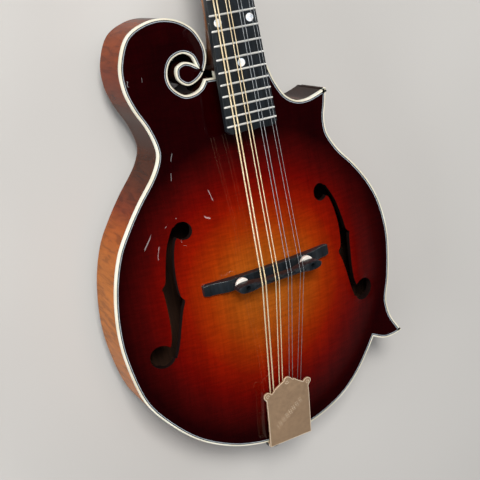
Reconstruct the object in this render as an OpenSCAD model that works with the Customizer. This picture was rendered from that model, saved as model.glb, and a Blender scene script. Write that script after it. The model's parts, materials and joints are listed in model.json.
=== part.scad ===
// Carved-top mandolin with a scroll and two body points: eight strings in four courses.
// Lengths are millimetres. X runs to the treble side, Y to the headstock and Z out of the top.
// The parts are drawn about the bridge line, with the top's rim at height zero. The last lines
// move the whole instrument so that it lies on its back with its box centred on the origin.

/* [Neck and strings] */
// String length along the fingerboard, from the nut to the bridge line
scale_length = 353.7; // [350:0.1:356]
// Number of frets
fret_count = 20; // [18:1:20]
// Width of the fingerboard at the nut
nut_width = 28.6; // [27:0.1:30]
// Width of the fingerboard at its free end
board_end_width = 39.8; // [38:0.1:42]
// Thickness of the fingerboard
board_t = 5; // [4:0.1:6]
// Fingerboard beyond the last fret
board_overrun = 5.5; // [4:0.1:7]
// Tilt of the fingerboard against the rim, in degrees
neck_angle = 4.9; // [4.5:0.1:5.2]
// Height of the fingerboard's surface over the rim, carried on to the bridge line
board_rise = 33.3; // [32.5:0.1:34]
// Depth of the neck's wood below the fingerboard, at the nut
neck_depth = 15; // [13:0.5:17]
// Tilt of the headstock against the fingerboard, in degrees
head_pitch = 13; // [11:0.5:15]
// Thickness of the headstock's wood, without its face veneer
head_wood_t = 12.5; // [11:0.5:14]

/* [Body] */
// Depth of the rim, edges of both plates included
rim_depth = 40; // [38:0.5:43]
// Thickness of both plates at their edges
plate_edge = 5; // [4.5:0.1:6]
// Thickness of both plates under their arches
plate_t = 4.2; // [3.5:0.1:4.4]
// Rise of the top's arch over the rim
top_arch = 15; // [13:0.5:16]
// Rise of the back's arch
back_arch = 14; // [12:0.5:16]
// Width of the binding
binding_w = 1.5; // [1.2:0.1:2]
// Depth of the binding on the side
binding_h = 3.2; // [2:0.1:4]
// Thickness of the bent ribs
rib_t = 2.3; // [2:0.1:3]
// Width of the linings glued inside the ribs
lining_w = 4.7; // [4:0.1:6]
// Height of the linings
lining_h = 10; // [8:0.5:12]

/* [Bridge] */
// Length of the bridge's base
base_length = 107.6; // [104:0.2:112]
// Width of the base along the strings
base_w = 9.2; // [8:0.1:10]
// Height of the base's flat top over the rim
base_top = 20; // [19:0.1:21]
// Half the distance between the two adjusting posts
post_x = 27.5; // [26:0.1:28.5]
// Radius of the adjusting posts
post_r = 1.6; // [1.5:0.05:1.8]
// Height of the saddle's crown over the rim
saddle_top = 37.2; // [36.5:0.1:38]
// Half the saddle's length
saddle_half = 35.4; // [34:0.2:37]
// Radius of the thumbwheels
wheel_r = 5.4; // [5:0.1:7]
// Thickness of the thumbwheels
wheel_t = 2.8; // [2:0.1:3]

/* [Tailpiece] */
// Height of the cover over the base plate
cover_h = 9; // [8.8:0.1:10]
// Sheet thickness of the cover and of the base plate
sheet_t = 1.3; // [1:0.1:1.5]
// Tilt of the tailpiece against the rim, in degrees
tail_tilt = 7.7; // [7.5:0.1:8.5]
// Sideways offset of the tailpiece towards the treble side
tail_x = 2.4; // [0:0.1:3]

/* [Tuners] */
// Distance between the tuners of one side
tuner_pitch = 23; // [22.5:0.1:23.5]
// Distance of the tuner posts from the centreline
tuner_x = 21.5; // [21:0.5:23]
// Distance from the nut to the first tuner posts
tuner_start = 36; // [34:0.5:38]
// Radius of the tuner posts
peg_r = 3; // [2.8:0.1:3.2]
// Radius of the gears
gear_r = 6; // [5.5:0.1:6.2]
// Radius of the worms
worm_r = 2.4; // [2:0.1:2.5]

/* [Hidden] */
$fn = 48;
fit_gap = 0.05;         // radial clearance of every running fit
spline_steps = 4;

// ---- curves -------------------------------------------------------------------------------

// One point of a Catmull-Rom curve between b and c
function curve_point(a, b, c, d, t) =
    0.5 * (2 * b + (c - a) * t + (2 * a - 5 * b + 4 * c - d) * t * t
           + (3 * b - a - 3 * c + d) * t * t * t);

// An open smooth curve through the points, without its last point
function open_curve(p, steps = spline_steps) = [
    for (i = [0 : len(p) - 2], s = [0 : steps - 1])
        curve_point(p[max(i - 1, 0)], p[i], p[i + 1], p[min(i + 2, len(p) - 1)], s / steps)
];

// A closed smooth curve through the points
function closed_curve(p, steps = spline_steps) = [
    for (i = [0 : len(p) - 1], s = [0 : steps - 1])
        curve_point(p[(i + len(p) - 1) % len(p)], p[i], p[(i + 1) % len(p)],
                    p[(i + 2) % len(p)], s / steps)
];

// ---- body outline: smooth runs that meet at the body's sharp corners ------------------------

slot_tip = [-25.3, 154.5];
slot_mouth = [-20, 143.6];
neck_shelf = [-12.6, 143.2];
neck_line_y = 148;
neck_corner = [29, 148];
upper_point = [78.1, 118.3];
lower_point = [125, -97.4];
tail_corner = [96.5, -94.5];

bass_run = [
    tail_corner, [88.5, -106.5], [76, -122], [60.5, -135], [40, -144.7], [20, -149.5], [0, -151],
    [-20, -149.7], [-45, -142], [-71, -126.5], [-93, -103.7], [-108, -80], [-116, -47],
    [-117.8, -20], [-114.5, 9], [-107, 34], [-96.3, 52.4], [-84.8, 68.2], [-72, 83.5],
    [-65.6, 95.5], [-65.4, 105], [-69.7, 118.5], [-77, 133], [-81.5, 148], [-80.9, 164.7],
    [-72.3, 182.2], [-55.2, 189.7], [-38, 188.5], [-24, 180], [-17, 167], [-17, 155.5],
    [-23, 145.5], [-33, 141.3], [-40.5, 146.5], [-40.6, 154.5], [-35, 158], [-29.5, 157], slot_tip
];
slot_run = [
    slot_tip, [-28, 160.8], [-35, 163.9], [-43.5, 160.7], [-47.6, 152], [-45.8, 143], [-38, 136],
    [-30.5, 135.4], [-24, 138.2], slot_mouth
];
cutaway_run = [
    neck_corner, [31.3, 142.5], [35.2, 131.8], [42, 120.3], [50.4, 114.4], [59.6, 113.1],
    [69.3, 115.2], upper_point
];
waist_run = [
    upper_point, [76, 106.7], [73.7, 95.4], [75.1, 83.2], [83.4, 69.2], [95.4, 55.4],
    [106.5, 39.6], [114.8, 22.2], [119.6, 2], [120.7, -18], [117.6, -45.6], [113.6, -62],
    [113.2, -70], [116, -82], lower_point
];
point_run = [lower_point, [117.4, -99.3], [107, -99.2], tail_corner];

outline = concat(
    open_curve(bass_run), open_curve(slot_run), [slot_mouth, neck_shelf],
    [[neck_shelf.x, neck_line_y]], open_curve(cutaway_run), open_curve(waist_run),
    open_curve(point_run)
);

// Edge of both arches: a smooth loop inside the outline that leaves out the scroll and points
arch_centre = [0, -10];
arch_edge = closed_curve([
    [0, -142], [-40, -134], [-77, -109], [-101, -73], [-108, -28], [-101, 18], [-80, 55],
    [-61, 82], [-56, 106], [-45, 124], [-20, 129], [0, 129], [20, 126], [36, 111], [56, 101],
    [66, 86], [80, 60], [100, 34], [111, -5], [109, -45], [97, -80], [74, -111], [40, -134]
], 3);

// Height of an arch as a fraction of its rise, at a fraction of the way to its edge
function arch_rise(f) = pow(1 - pow(min(f, 1), 2.2), 1.25);

// ---- derived places -------------------------------------------------------------------------

nut_y = scale_length * cos(neck_angle);
nut_z = board_rise - nut_y * tan(neck_angle);
board_length = scale_length * (1 - pow(2, -fret_count / 12)) + board_overrun;
nut_t = 5;
nut_rise = 1.3;
veneer_t = 1.5;
head_drop = 3.4;        // headstock face below the fingerboard's surface, at the nut
head_tilt = neck_angle + head_pitch;
head_y = nut_y + nut_t * cos(neck_angle) - head_drop * sin(neck_angle);
head_z = nut_z - nut_t * sin(neck_angle) - head_drop * cos(neck_angle);
head_back = -veneer_t - head_wood_t;
head_tip = 146;
rib_top = -plate_edge;
rib_bottom = plate_edge - rim_depth;

plate_sheet = 1.2;                              // tuner plates
gear_top = head_back - plate_sheet - 1;
gear_t = 3.4;
worm_w = gear_top - gear_t / 2;
worm_offset = gear_r + worm_r + 0.25;           // gear axis to worm axis, along the headstock
shaft_r = 1.6;
button_x = 42;
button_l = 14;
button_t = 6;
winding_r = 4.1;
winding_w = 7.5;                                // height of the windings over the face

gear_teeth = 16;
string_r = [0.51, 0.33, 0.19, 0.14];            // G, D, A and E
nut_course_x = [-10.3, -3.5, 3.5, 10.3];
saddle_course_x = [-15.55, -4.4, 6.5, 16.85];
tail_course_x = [-11.8, -4.2, 4.2, 11.8];
nut_pair = 1.05;                                // half the spacing within a course
saddle_pair = 1.45;
tail_pair = 1.5;
bridge_x = 0.6;
bridge_y = -3.15;
bridge_turn = 1.5;                               // the bass end stands a little further back
hook_y = 28;                                    // hooks, along the tailpiece from its tail edge
hook_z = 3.6;
tail_edge_y = -151.05;
tail_edge_z = 0.8;
button_out = 14.1;                              // end button, out of the tail

// the instrument's own box, for the resting place of the last lines
box_mid_x = (lower_point.x + min([for (p = outline) p.x])) / 2;
box_low_y = tail_edge_y - sheet_t - button_out;
box_high_y = head_y + head_tip * cos(head_tilt);
box_mid_y = (box_low_y + box_high_y) / 2;
box_low_z = head_z - head_tip * sin(head_tilt) + head_back * cos(head_tilt);

// ---- frames ---------------------------------------------------------------------------------

// Fingerboard: origin on its surface at the nut, Y towards the headstock
module on_board() {
    translate([0, nut_y, nut_z]) rotate([-neck_angle, 0, 0]) children();
}

// Headstock: origin on its face behind the nut
module on_head() {
    translate([0, head_y, head_z]) rotate([-head_tilt, 0, 0]) children();
}

// Bridge: origin under its middle, at the rim's height
module on_bridge() {
    translate([bridge_x, bridge_y, 0]) rotate([0, 0, bridge_turn]) children();
}

// Tailpiece: origin under the base plate at the tail's edge, Y along the plate to the bridge
module on_tail() {
    translate([tail_x, tail_edge_y, tail_edge_z]) rotate([tail_tilt, 0, 0]) children();
}

// Lying on the floor, centred
module place() {
    translate([-box_mid_x, -box_mid_y, -box_low_z]) children();
}

// A tube along points that run mostly along Y
module tube(path, r, sides = 8) {
    last = len(path) - 1;
    points = [
        for (p = path, i = [0 : sides - 1])
            p + r * [cos(i * 360 / sides), 0, sin(i * 360 / sides)]
    ];
    walls = [
        for (k = [0 : last - 1], i = [0 : sides - 1])
            let (a = k * sides + i, b = k * sides + (i + 1) % sides)
                each [[a, b + sides, b], [a, a + sides, b + sides]]
    ];
    polyhedron(points, concat(
        [[for (i = [0 : sides - 1]) i]], walls,
        [[for (i = [sides - 1 : -1 : 0]) last * sides + i]]
    ));
}

// ---- body -----------------------------------------------------------------------------------

module body_slab(low, high, inset = 0) {
    translate([0, 0, low]) linear_extrude(high - low) offset(r = -inset) polygon(outline);
}

module body_ring(low, high, outer, inner) {
    translate([0, 0, low]) linear_extrude(high - low) difference() {
        offset(r = -outer) polygon(outline);
        offset(r = -inner) polygon(outline);
    }
}

// Solid under an arch, from its surface down to a flat bottom
module arch_solid(rise, bottom, rings = 8) {
    n = len(arch_edge);
    surface = [
        for (k = [rings : -1 : 1], p = arch_edge)
            let (f = k / rings, q = arch_centre + f * (p - arch_centre))
                [q.x, q.y, rise * arch_rise(f)]
    ];
    floor_ring = [for (p = arch_edge) [p.x, p.y, bottom]];
    points = concat(floor_ring, surface, [[arch_centre.x, arch_centre.y, rise]]);
    walls = [
        for (k = [0 : rings - 1], i = [0 : n - 1])
            let (a = k * n + i, b = k * n + (i + 1) % n) each [[a, b, b + n], [a, b + n, a + n]]
    ];
    cap = [for (i = [0 : n - 1]) [rings * n + i, rings * n + (i + 1) % n, (rings + 1) * n]];
    polyhedron(points, concat([[for (i = [n - 1 : -1 : 0]) i]], walls, cap));
}

// One f-hole on the treble side: a waved stem with two notches between two round eyes
module f_hole() {
    outer_edge = [
        [61, 48.3], [65, 45.5], [68.4, 39.5], [72.5, 30], [76, 16], [78, 7], [81, 3.5],
        [80.4, 0], [79.9, -10], [79.7, -24], [80.6, -36], [83, -43]
    ];
    inner_edge = [
        [84, -56.3], [79.3, -51.5], [76, -42], [72.8, -29], [69.4, -16], [66.7, -8.7],
        [69, -5], [70, 3], [69.8, 15], [67.8, 28], [64.6, 38]
    ];
    translate([0, 0, -20]) linear_extrude(50) {
        polygon(concat(open_curve(outer_edge, 3), [[88, -46]], open_curve(inner_edge, 3)));
        translate([58.2, 42]) circle(6.6);
        translate([89.3, -48.2]) circle(9.2);
    }
}

module f_holes() {
    f_hole();
    mirror([1, 0, 0]) f_hole();
}

module top_plate() {
    color("darkorange") difference() {
        union() {
            body_slab(-plate_edge, 0, binding_w);
            body_slab(-plate_edge, -binding_h);
            arch_solid(top_arch, -1);
        }
        translate([0, 0, -plate_t]) arch_solid(top_arch, -plate_edge);
        f_holes();
        tenon_space();
    }
}

module back_plate() {
    color("saddlebrown") translate([0, 0, -rim_depth]) mirror([0, 0, 1]) difference() {
        union() {
            body_slab(-plate_edge, 0);
            arch_solid(back_arch, -1);
        }
        translate([0, 0, -plate_t]) arch_solid(back_arch, -plate_edge);
    }
}

heel_half = 12.6;

module heel_gap() {
    translate([-heel_half, neck_line_y - 8, -rim_depth]) cube([2 * heel_half, 20, rim_depth + 20]);
}

module rib_ring() {
    difference() {
        body_ring(rib_bottom, rib_top, 0, rib_t);
        heel_gap();
        end_button_bore();
    }
}

module rib_bass() {
    color("peru") intersection() {
        rib_ring();
        translate([-200, -200, -100]) cube([200, 450, 200]);
    }
}

module rib_treble() {
    color("peru") intersection() {
        rib_ring();
        translate([0, -200, -100]) cube([200, 450, 200]);
    }
}

module top_binding() {
    color("ivory") difference() {
        body_ring(-binding_h, 0, 0, binding_w);
        heel_gap();
    }
}

// Plan areas that the blocks fill, inside the ribs
module head_area() {
    polygon([
        [-95, 126], [-62, 121], [-34, 113], [40, 113], [40, 160], [-5, 160], [-5, 200], [-95, 200]
    ]);
}

module tail_area() {
    translate([-28, -160]) square([56, 24]);
}

module point_areas() {
    translate([68, 100]) square([30, 30]);
    translate([98, -110]) square([40, 42]);
}

module block(low, high) {
    translate([0, 0, low]) linear_extrude(high - low) intersection() {
        offset(r = -rib_t) polygon(outline);
        children();
    }
}

module lining(low) {
    translate([0, 0, low]) linear_extrude(lining_h) difference() {
        offset(r = -rib_t) polygon(outline);
        offset(r = -rib_t - lining_w) polygon(outline);
        head_area();
        tail_area();
        point_areas();
    }
}

module top_lining() { color("burlywood") lining(rib_top - lining_h); }
module back_lining() { color("burlywood") lining(rib_bottom); }

tenon_w = 22;
tenon_l = 16;

module tenon_space(extra = 0) {
    translate([-tenon_w / 2, neck_line_y - tenon_l, rib_bottom])
        cube([tenon_w, tenon_l + extra, rim_depth + 12]);
}

module head_block() {
    color("tan") difference() {
        block(rib_bottom, rib_top) head_area();
        tenon_space();
        heel_gap();
    }
}

module tail_block() {
    color("tan") difference() {
        block(rib_bottom, rib_top) tail_area();
        end_button_bore();
    }
}

module point_blocks() { color("tan") block(rib_bottom, rib_top) point_areas(); }

// Two bars glued lengthwise under the top
module tone_bars() {
    bar_w = 6.5;
    bar_bottom = 2;
    color("wheat") intersection() {
        translate([0, 0, -plate_t - 0.02]) arch_solid(top_arch, -plate_edge);
        for (side = [-1, 1])
            rotate([0, 0, side * 3])
                translate([side * 27 - bar_w / 2, -115, bar_bottom]) cube([bar_w, 210, 30]);
    }
}

// ---- neck -----------------------------------------------------------------------------------

heel_start = -168;      // on the fingerboard's own Y
heel_end = (neck_line_y - nut_y) / cos(neck_angle);

function board_half(y) = nut_width / 2 - (board_end_width - nut_width) / 2 * y / board_length;
function heel_share(y) = y > heel_start ? 0 : (heel_start - y) / (heel_start - heel_end);

// Cross-section of the neck's wood below the fingerboard, round at the neck, narrow at the heel
function neck_ring(y) =
    let (
        h = heel_share(y), half = board_half(y), sides = 18,
        heel_depth = nut_z - y * sin(neck_angle) + rim_depth - 3 - board_t,
        depth = neck_depth - y * 0.012 + (heel_depth - neck_depth + y * 0.012) * pow(h, 2.6),
        low_half = half - (half - heel_half) * h, round_power = 2 + 8 * h
    ) [
        for (i = [0 : sides])
            let (
                t = sin(i * 180 / sides), side = i < sides / 2 ? 1 : i > sides / 2 ? -1 : 0,
                taper = half - (half - low_half) * min(1, t / 0.3)
            ) [side * taper * pow(max(0, 1 - pow(t, round_power)), 1 / 2), y, -board_t - depth * t]
    ];

module neck_shaft() {
    stations = concat([nut_t - 0.1, 0], [for (y = [-20 : -25 : heel_start]) y],
                      [for (k = [0 : 8]) heel_start + (heel_end - heel_start) * k / 8]);
    rings = [for (y = stations) neck_ring(y)];
    n = len(rings[0]);
    last = len(rings) - 1;
    walls = [
        for (k = [0 : last - 1], i = [0 : n - 1])
            let (a = k * n + i, b = k * n + (i + 1) % n) each [[a, b, b + n], [a, b + n, a + n]]
    ];
    polyhedron([for (r = rings) each r],
               concat([[for (i = [n - 1 : -1 : 0]) i]], walls, [[for (i = [0 : n - 1]) last * n + i]]));
}

head_side = [
    [14.4, 0], [16, 6], [22, 14], [31, 23], [34.5, 34], [34.5, 60], [35.5, 90], [36.5, 112],
    [37, 124]
];
bass_horn = [[-37, 124], [-38, 136], [-31, 145], [-21, 144], [-16, 137], [-9, 128], [0, 124]];
treble_horn = [[0, 124], [9, 127], [17, 136], [27, 143], [38, 146], [39, 136], [37, 124]];
module head_plan() {
    polygon(concat(
        open_curve(bass_horn), open_curve(treble_horn),
        open_curve([for (i = [len(head_side) - 1 : -1 : 0]) head_side[i]]), [[14.4, 0]],
        [[-14.4, 0]], open_curve([for (p = head_side) [-p.x, p.y]])
    ));
}

function tuner_v(i) = i < 4 ? -tuner_x : tuner_x;
function tuner_u(i) = tuner_start + tuner_pitch * (i % 4);

module tuner_holes(r, low, high) {
    for (i = [0 : 7]) translate([tuner_v(i), tuner_u(i), low]) cylinder(h = high - low, r = r);
}

bushing_r = 4.3;
truss_z = -board_t - 6;         // rod axis below the fingerboard's surface
truss_r = 2.5;
truss_thread_r = 2;
truss_end = 15;

module truss_pocket() {
    on_head() translate([-5, 0.3, -11.8]) cube([10, 20, 20]);
}

module neck() {
    riser_low = 8;
    color("sienna") difference() {
        union() {
            // the heel ends square against the ribs
            difference() {
                on_board() neck_shaft();
                translate([-50, neck_line_y - 50, -100]) cube([100, 50, 150]);
            }
            hull() {
                on_board() translate([-13.2, nut_t - 1, -board_t - 12]) cube([26.4, 0.4, 11]);
                on_head() translate([-15, 8, head_back + 0.4]) cube([30, 0.4, head_wood_t - 1]);
            }
            on_head() translate([0, 0, head_back]) linear_extrude(head_wood_t) head_plan();
            // tenon in the head block, and the foot and riser under the fingerboard's free end
            difference() {
                union() {
                    tenon_space(0.5);
                    translate([-11, neck_line_y - 36, riser_low]) cube([22, 36.5, 20]);
                }
                on_board() translate([-50, -400, -board_t]) cube([100, 500, 60]);
            }
        }
        on_board() translate([0, -200, truss_z]) rotate([-90, 0, 0])
            cylinder(h = 222, r = truss_r);
        truss_pocket();
        on_head() tuner_holes(bushing_r, head_back - 1, 1);
    }
}

module heel_cap() {
    cap_t = 3;
    color("black") translate([0, neck_line_y, -rim_depth]) linear_extrude(cap_t - 0.05)
        intersection() {
            translate([0, -1]) circle(heel_half);
            translate([-30, 0]) square([60, 30]);
        }
}

module truss_rod() {
    color("dimgray") on_board() {
        translate([0, -199, truss_z]) rotate([-90, 0, 0]) cylinder(h = 203, r = truss_r);
        translate([0, 0, truss_z]) rotate([-90, 0, 0]) cylinder(h = truss_end, r = truss_thread_r);
    }
}

module truss_nut() {
    color("goldenrod") on_board() translate([0, 6.5, truss_z]) rotate([-90, 0, 0]) difference() {
        cylinder(h = 7.5, r = 3.4, $fn = 6);
        translate([0, 0, -1]) cylinder(h = 10, r = truss_thread_r + fit_gap);
    }
}

dot_r = 2.9;
dot_t = 1.5;
octave_dot_x = 12.4;
function fret_y(n) = -scale_length * (1 - pow(2, -n / 12));
function between(n) = (fret_y(n) + fret_y(n - 1)) / 2;
dot_places = concat(
    [for (n = [3, 5, 7, 10, 15]) [0, between(n)]],
    [for (side = [-1, 1]) [side * octave_dot_x, between(12)]]
);

module dots(t, lift) {
    for (p = dot_places) translate([p.x, p.y, lift - t]) cylinder(h = t, r = dot_r, $fn = 32);
}

module fingerboard() {
    corner = 2.6;
    half = board_end_width / 2;
    color([0.12, 0.13, 0.15]) on_board() difference() {
        translate([0, 0, -board_t]) linear_extrude(board_t) polygon([
            [nut_width / 2, 0], [half, corner - board_length], [half - corner, -board_length],
            [corner - half, -board_length], [-half, corner - board_length], [-nut_width / 2, 0]
        ]);
        dots(dot_t, 0);
    }
}

module frets() {
    crown_r = 0.8;
    color("silver") on_board() difference() {
        for (n = [1 : fret_count])
            translate([-board_half(fret_y(n)), fret_y(n), 0]) rotate([0, 90, 0])
                cylinder(h = 2 * board_half(fret_y(n)), r = crown_r, $fn = 24);
        translate([-50, -400, -10]) cube([100, 500, 10]);
    }
}

module fret_markers() { color("gainsboro") on_board() dots(dot_t, 0); }

module nut() {
    color("ivory") on_board() translate([-nut_width / 2, 0, -board_t])
        cube([nut_width, nut_t - 0.2, board_t + nut_rise]);
}

module headstock_face() {
    color("black") difference() {
        on_head() translate([0, 0, -veneer_t]) linear_extrude(veneer_t) head_plan();
        // the face ends against the nut's back
        on_board() translate([-50, -5, -20]) cube([100, 5 + nut_t - 0.15, 40]);
        truss_pocket();
        on_head() tuner_holes(bushing_r, -5, 5);
    }
}

cover_plate_t = 1.6;

module truss_cover() {
    color("black") on_head() linear_extrude(cover_plate_t) polygon(concat(
        [[-9.5, 0.4], [9.5, 0.4]],
        open_curve([[9.5, 0.4], [8.5, 9], [4.6, 18], [3.4, 25], [0, 31]]),
        open_curve([[0, 31], [-3.4, 25], [-4.6, 18], [-8.5, 9], [-9.5, 0.4]])
    ));
}

module truss_cover_screws() {
    color("gold") on_head() for (p = [[-7, 3], [0, 27]])
        translate([p.x, p.y, cover_plate_t]) {
            cylinder(h = 0.9, r1 = 1.9, r2 = 1.2, $fn = 24);
            translate([0, 0, -7]) cylinder(h = 7, r = 0.9, $fn = 16);
        }
}

// ---- tuners ---------------------------------------------------------------------------------

module tuner_bushings() {
    color("silver") on_head() difference() {
        union() {
            tuner_holes(bushing_r, -8, 0);
            tuner_holes(bushing_r + 1, 0, 1.4);
        }
        tuner_holes(peg_r + fit_gap, -9, 3);
    }
}

ear_x = [15.6, 28.4];           // planes of the two ears that carry each worm shaft
ear_t = 1.3;

// Base plate of four tuners, with two ears for each worm shaft
module tuner_plate(side) {
    on_head() difference() {
        union() {
            translate([side * (tuner_x + 0.5) - 9.5, tuner_start - 13, head_back - plate_sheet])
                cube([19, 3 * tuner_pitch + 33, plate_sheet]);
            for (k = [0 : 3], x = ear_x)
                translate([side * x - ear_t / 2, tuner_start + tuner_pitch * k + worm_offset - 3,
                           worm_w - 3])
                    cube([ear_t, 6, head_back - plate_sheet / 2 - worm_w + 3]);
        }
        tuner_holes(peg_r + fit_gap, head_back - 5, head_back + 5);
        for (k = [0 : 3])
            translate([side * 10, tuner_start + tuner_pitch * k + worm_offset, worm_w])
                rotate([0, side * 90, 0]) cylinder(h = 25, r = shaft_r + fit_gap);
    }
}

module tuner_plate_bass() { color("silver") tuner_plate(-1); }
module tuner_plate_treble() { color("silver") tuner_plate(1); }

module tuner_plate_screws() {
    color("gray") on_head() for (side = [-1, 1], k = [0 : 4])
        translate([side * (tuner_x - 6.5), tuner_start - 8.7 + tuner_pitch * k,
                   head_back - plate_sheet]) {
            translate([0, 0, -0.9]) cylinder(h = 0.9, r1 = 1, r2 = 1.7, $fn = 24);
            cylinder(h = 8, r = 0.9, $fn = 16);
        }
}

// Worm, shaft and button of tuner i
module tuner_key(i) {
    side = i < 4 ? -1 : 1;
    on_head() translate([0, tuner_u(i) + worm_offset, worm_w]) rotate([0, side * 90, 0]) {
        color("silver") {
            translate([0, 0, 14.2]) cylinder(h = button_x - 11.2, r = shaft_r);
            translate([0, 0, ear_x[0] + ear_t / 2 + 0.3])
                cylinder(h = ear_x[1] - ear_x[0] - ear_t - 0.6, r = worm_r);
            translate([0, 0, ear_x[1] + ear_t / 2 + 0.3]) cylinder(h = 2, r = worm_r);
        }
        color("ivory") translate([-button_t / 2, 0, button_x + button_l / 2]) rotate([0, 90, 0])
            linear_extrude(button_t) polygon([
                for (a = [0 : 15 : 345]) [button_l / 2 * cos(a), 6.2 * sin(a)]
            ]);
    }
}

// Post, gear and string winding of tuner i
module tuner_post(i) {
    post_top = 15;
    color("silver") on_head() translate([tuner_v(i), tuner_u(i), 0]) {
        translate([0, 0, gear_top - gear_t]) cylinder(h = post_top - gear_top + gear_t, r = peg_r);
        translate([0, 0, gear_top - gear_t]) linear_extrude(gear_t) polygon([
            for (a = [0 : 2 * gear_teeth - 1])
                let (r = a % 2 == 0 ? gear_r : gear_r - 0.6, angle = a * 180 / gear_teeth)
                    [r * cos(angle), r * sin(angle)]
        ]);
        translate([0, 0, gear_top - gear_t - 1]) cylinder(h = 1, r = 2.4);
        translate([0, 0, winding_w - 1.5]) cylinder(h = 3, r = winding_r);
    }
}

module tuner_key_1() { tuner_key(0); }
module tuner_key_2() { tuner_key(1); }
module tuner_key_3() { tuner_key(2); }
module tuner_key_4() { tuner_key(3); }
module tuner_key_5() { tuner_key(4); }
module tuner_key_6() { tuner_key(5); }
module tuner_key_7() { tuner_key(6); }
module tuner_key_8() { tuner_key(7); }
module tuner_post_1() { tuner_post(0); }
module tuner_post_2() { tuner_post(1); }
module tuner_post_3() { tuner_post(2); }
module tuner_post_4() { tuner_post(3); }
module tuner_post_5() { tuner_post(4); }
module tuner_post_6() { tuner_post(5); }
module tuner_post_7() { tuner_post(6); }
module tuner_post_8() { tuner_post(7); }

// ---- bridge ---------------------------------------------------------------------------------

// Height of the top's surface along the bridge
function under_bridge(x) = top_arch * arch_rise(abs(x) / 109) + 0.15;

module bridge_holes(r) {
    for (side = [-1, 1]) translate([side * post_x, 0, 0]) cylinder(h = 60, r = r);
}

module bridge_base() {
    half = base_length / 2;
    tip = under_bridge(half);
    color([0.1, 0.1, 0.11]) on_bridge() difference() {
        translate([0, base_w / 2, 0]) rotate([90, 0, 0]) linear_extrude(base_w) polygon(concat(
            [for (k = [-10 : 10]) [half * k / 10, under_bridge(half * k / 10)]],
            [[half, tip + 2.6], [half - 1.5, tip + 3.8], [42, 17.2], [35, base_top],
             [-35, base_top], [-42, 17.2], [1.5 - half, tip + 3.8], [-half, tip + 2.6]]
        ));
        bridge_holes(post_r);
    }
}

wheel_low = 23.6;
wheel_high = wheel_low + wheel_t;
post_bottom = 14.5;
post_top = 33;

module bridge_posts() {
    color("silver") on_bridge() for (side = [-1, 1])
        translate([side * post_x, 0, post_bottom]) cylinder(h = post_top - post_bottom, r = post_r);
}

module bridge_saddle() {
    saddle_w = 7;
    wing_top = 35;              // the ends with the post holes are lower than the crown
    seat = wheel_high + 0.08;
    color([0.1, 0.1, 0.11]) on_bridge() difference() {
        translate([0, saddle_w / 2, 0]) rotate([90, 0, 0]) linear_extrude(saddle_w) polygon(concat(
            open_curve([[-18, seat + 1.4], [-10, seat + 3], [0, seat + 3.6], [10, seat + 3],
                        [18, seat + 1.4]]),
            [[21, seat], [saddle_half - 1, seat], [saddle_half, seat + 1.5],
             [saddle_half - 0.5, wing_top - 0.6], [saddle_half - 4, wing_top], [24, wing_top],
             [20, saddle_top], [-20, saddle_top], [-24, wing_top], [4 - saddle_half, wing_top],
             [0.5 - saddle_half, wing_top - 0.6], [-saddle_half, seat + 1.5], [1 - saddle_half, seat],
             [-21, seat]]
        ));
        bridge_holes(post_r + fit_gap);
        // the crown falls away from the ridge that the strings break over
        translate([0, 0, saddle_top]) {
            rotate([16, 0, 0]) translate([-60, -20, 0]) cube([120, 20, 10]);
            rotate([-7, 0, 0]) translate([-60, 0, 0]) cube([120, 20, 10]);
        }
    }
}

module thumbwheel(side) {
    grips = 28;
    on_bridge() translate([side * post_x, 0, wheel_low]) difference() {
        linear_extrude(wheel_t) polygon([
            for (a = [0 : 2 * grips - 1])
                let (r = a % 2 == 0 ? wheel_r : wheel_r - 0.35, angle = a * 180 / grips)
                    [r * cos(angle), r * sin(angle)]
        ]);
        translate([0, 0, -1]) cylinder(h = wheel_t + 2, r = post_r + fit_gap);
    }
}

module thumbwheel_bass() { color("gold") thumbwheel(-1); }
module thumbwheel_treble() { color("gold") thumbwheel(1); }

// ---- tailpiece ------------------------------------------------------------------------------

leg_low = -33;
base_half = 15.5;
button_z = -19;
button_shank_r = 3.2;

module end_button_bore() {
    translate([0, -175, button_z]) rotate([-90, 0, 0]) cylinder(h = 60, r = button_shank_r);
}

function tail_string_x(course, pair) = tail_course_x[course] + pair * tail_pair;

// Side profile of the bent sheet: the plate along the tilt and the leg down over the tail
module tail_sheet_profile() {
    plate_l = 46;
    run = [cos(tail_tilt), sin(tail_tilt)];
    up = [-sin(tail_tilt), cos(tail_tilt)] * sheet_t;
    bend = up - run * (sheet_t - sheet_t * sin(tail_tilt)) / cos(tail_tilt);
    foot = leg_low - tail_edge_z;
    polygon([[0, 0], plate_l * run, plate_l * run + up, bend, [-sheet_t, foot], [0, foot]]);
}

module tailpiece_base() {
    color("tan") difference() {
        union() {
            translate([tail_x - base_half, tail_edge_y, tail_edge_z]) rotate([90, 0, 90])
                linear_extrude(2 * base_half) tail_sheet_profile();
            on_tail() for (course = [0 : 3], pair = [-1, 1])
                translate([tail_string_x(course, pair), hook_y - 2.2, sheet_t / 2]) {
                    cylinder(h = hook_z + 1 - sheet_t / 2, r = 0.7);
                    translate([0, 0, hook_z + 0.8 - sheet_t / 2]) cylinder(h = 0.8, r = 0.9);
                }
        }
        // the leg narrows towards its foot
        for (side = [-1, 1]) translate([tail_x, tail_edge_y + 5, 0]) mirror([side < 0 ? 1 : 0, 0, 0])
            rotate([90, 0, 0]) linear_extrude(10)
                polygon([[base_half + 1, -10.5], [6, leg_low - 1], [base_half + 1, leg_low - 1]]);
        end_button_bore();
        at_tail_screws() translate([0, 0, -1]) cylinder(h = 4, r = tail_screw_r);
    }
}

tail_screw_r = 1.2;

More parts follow.
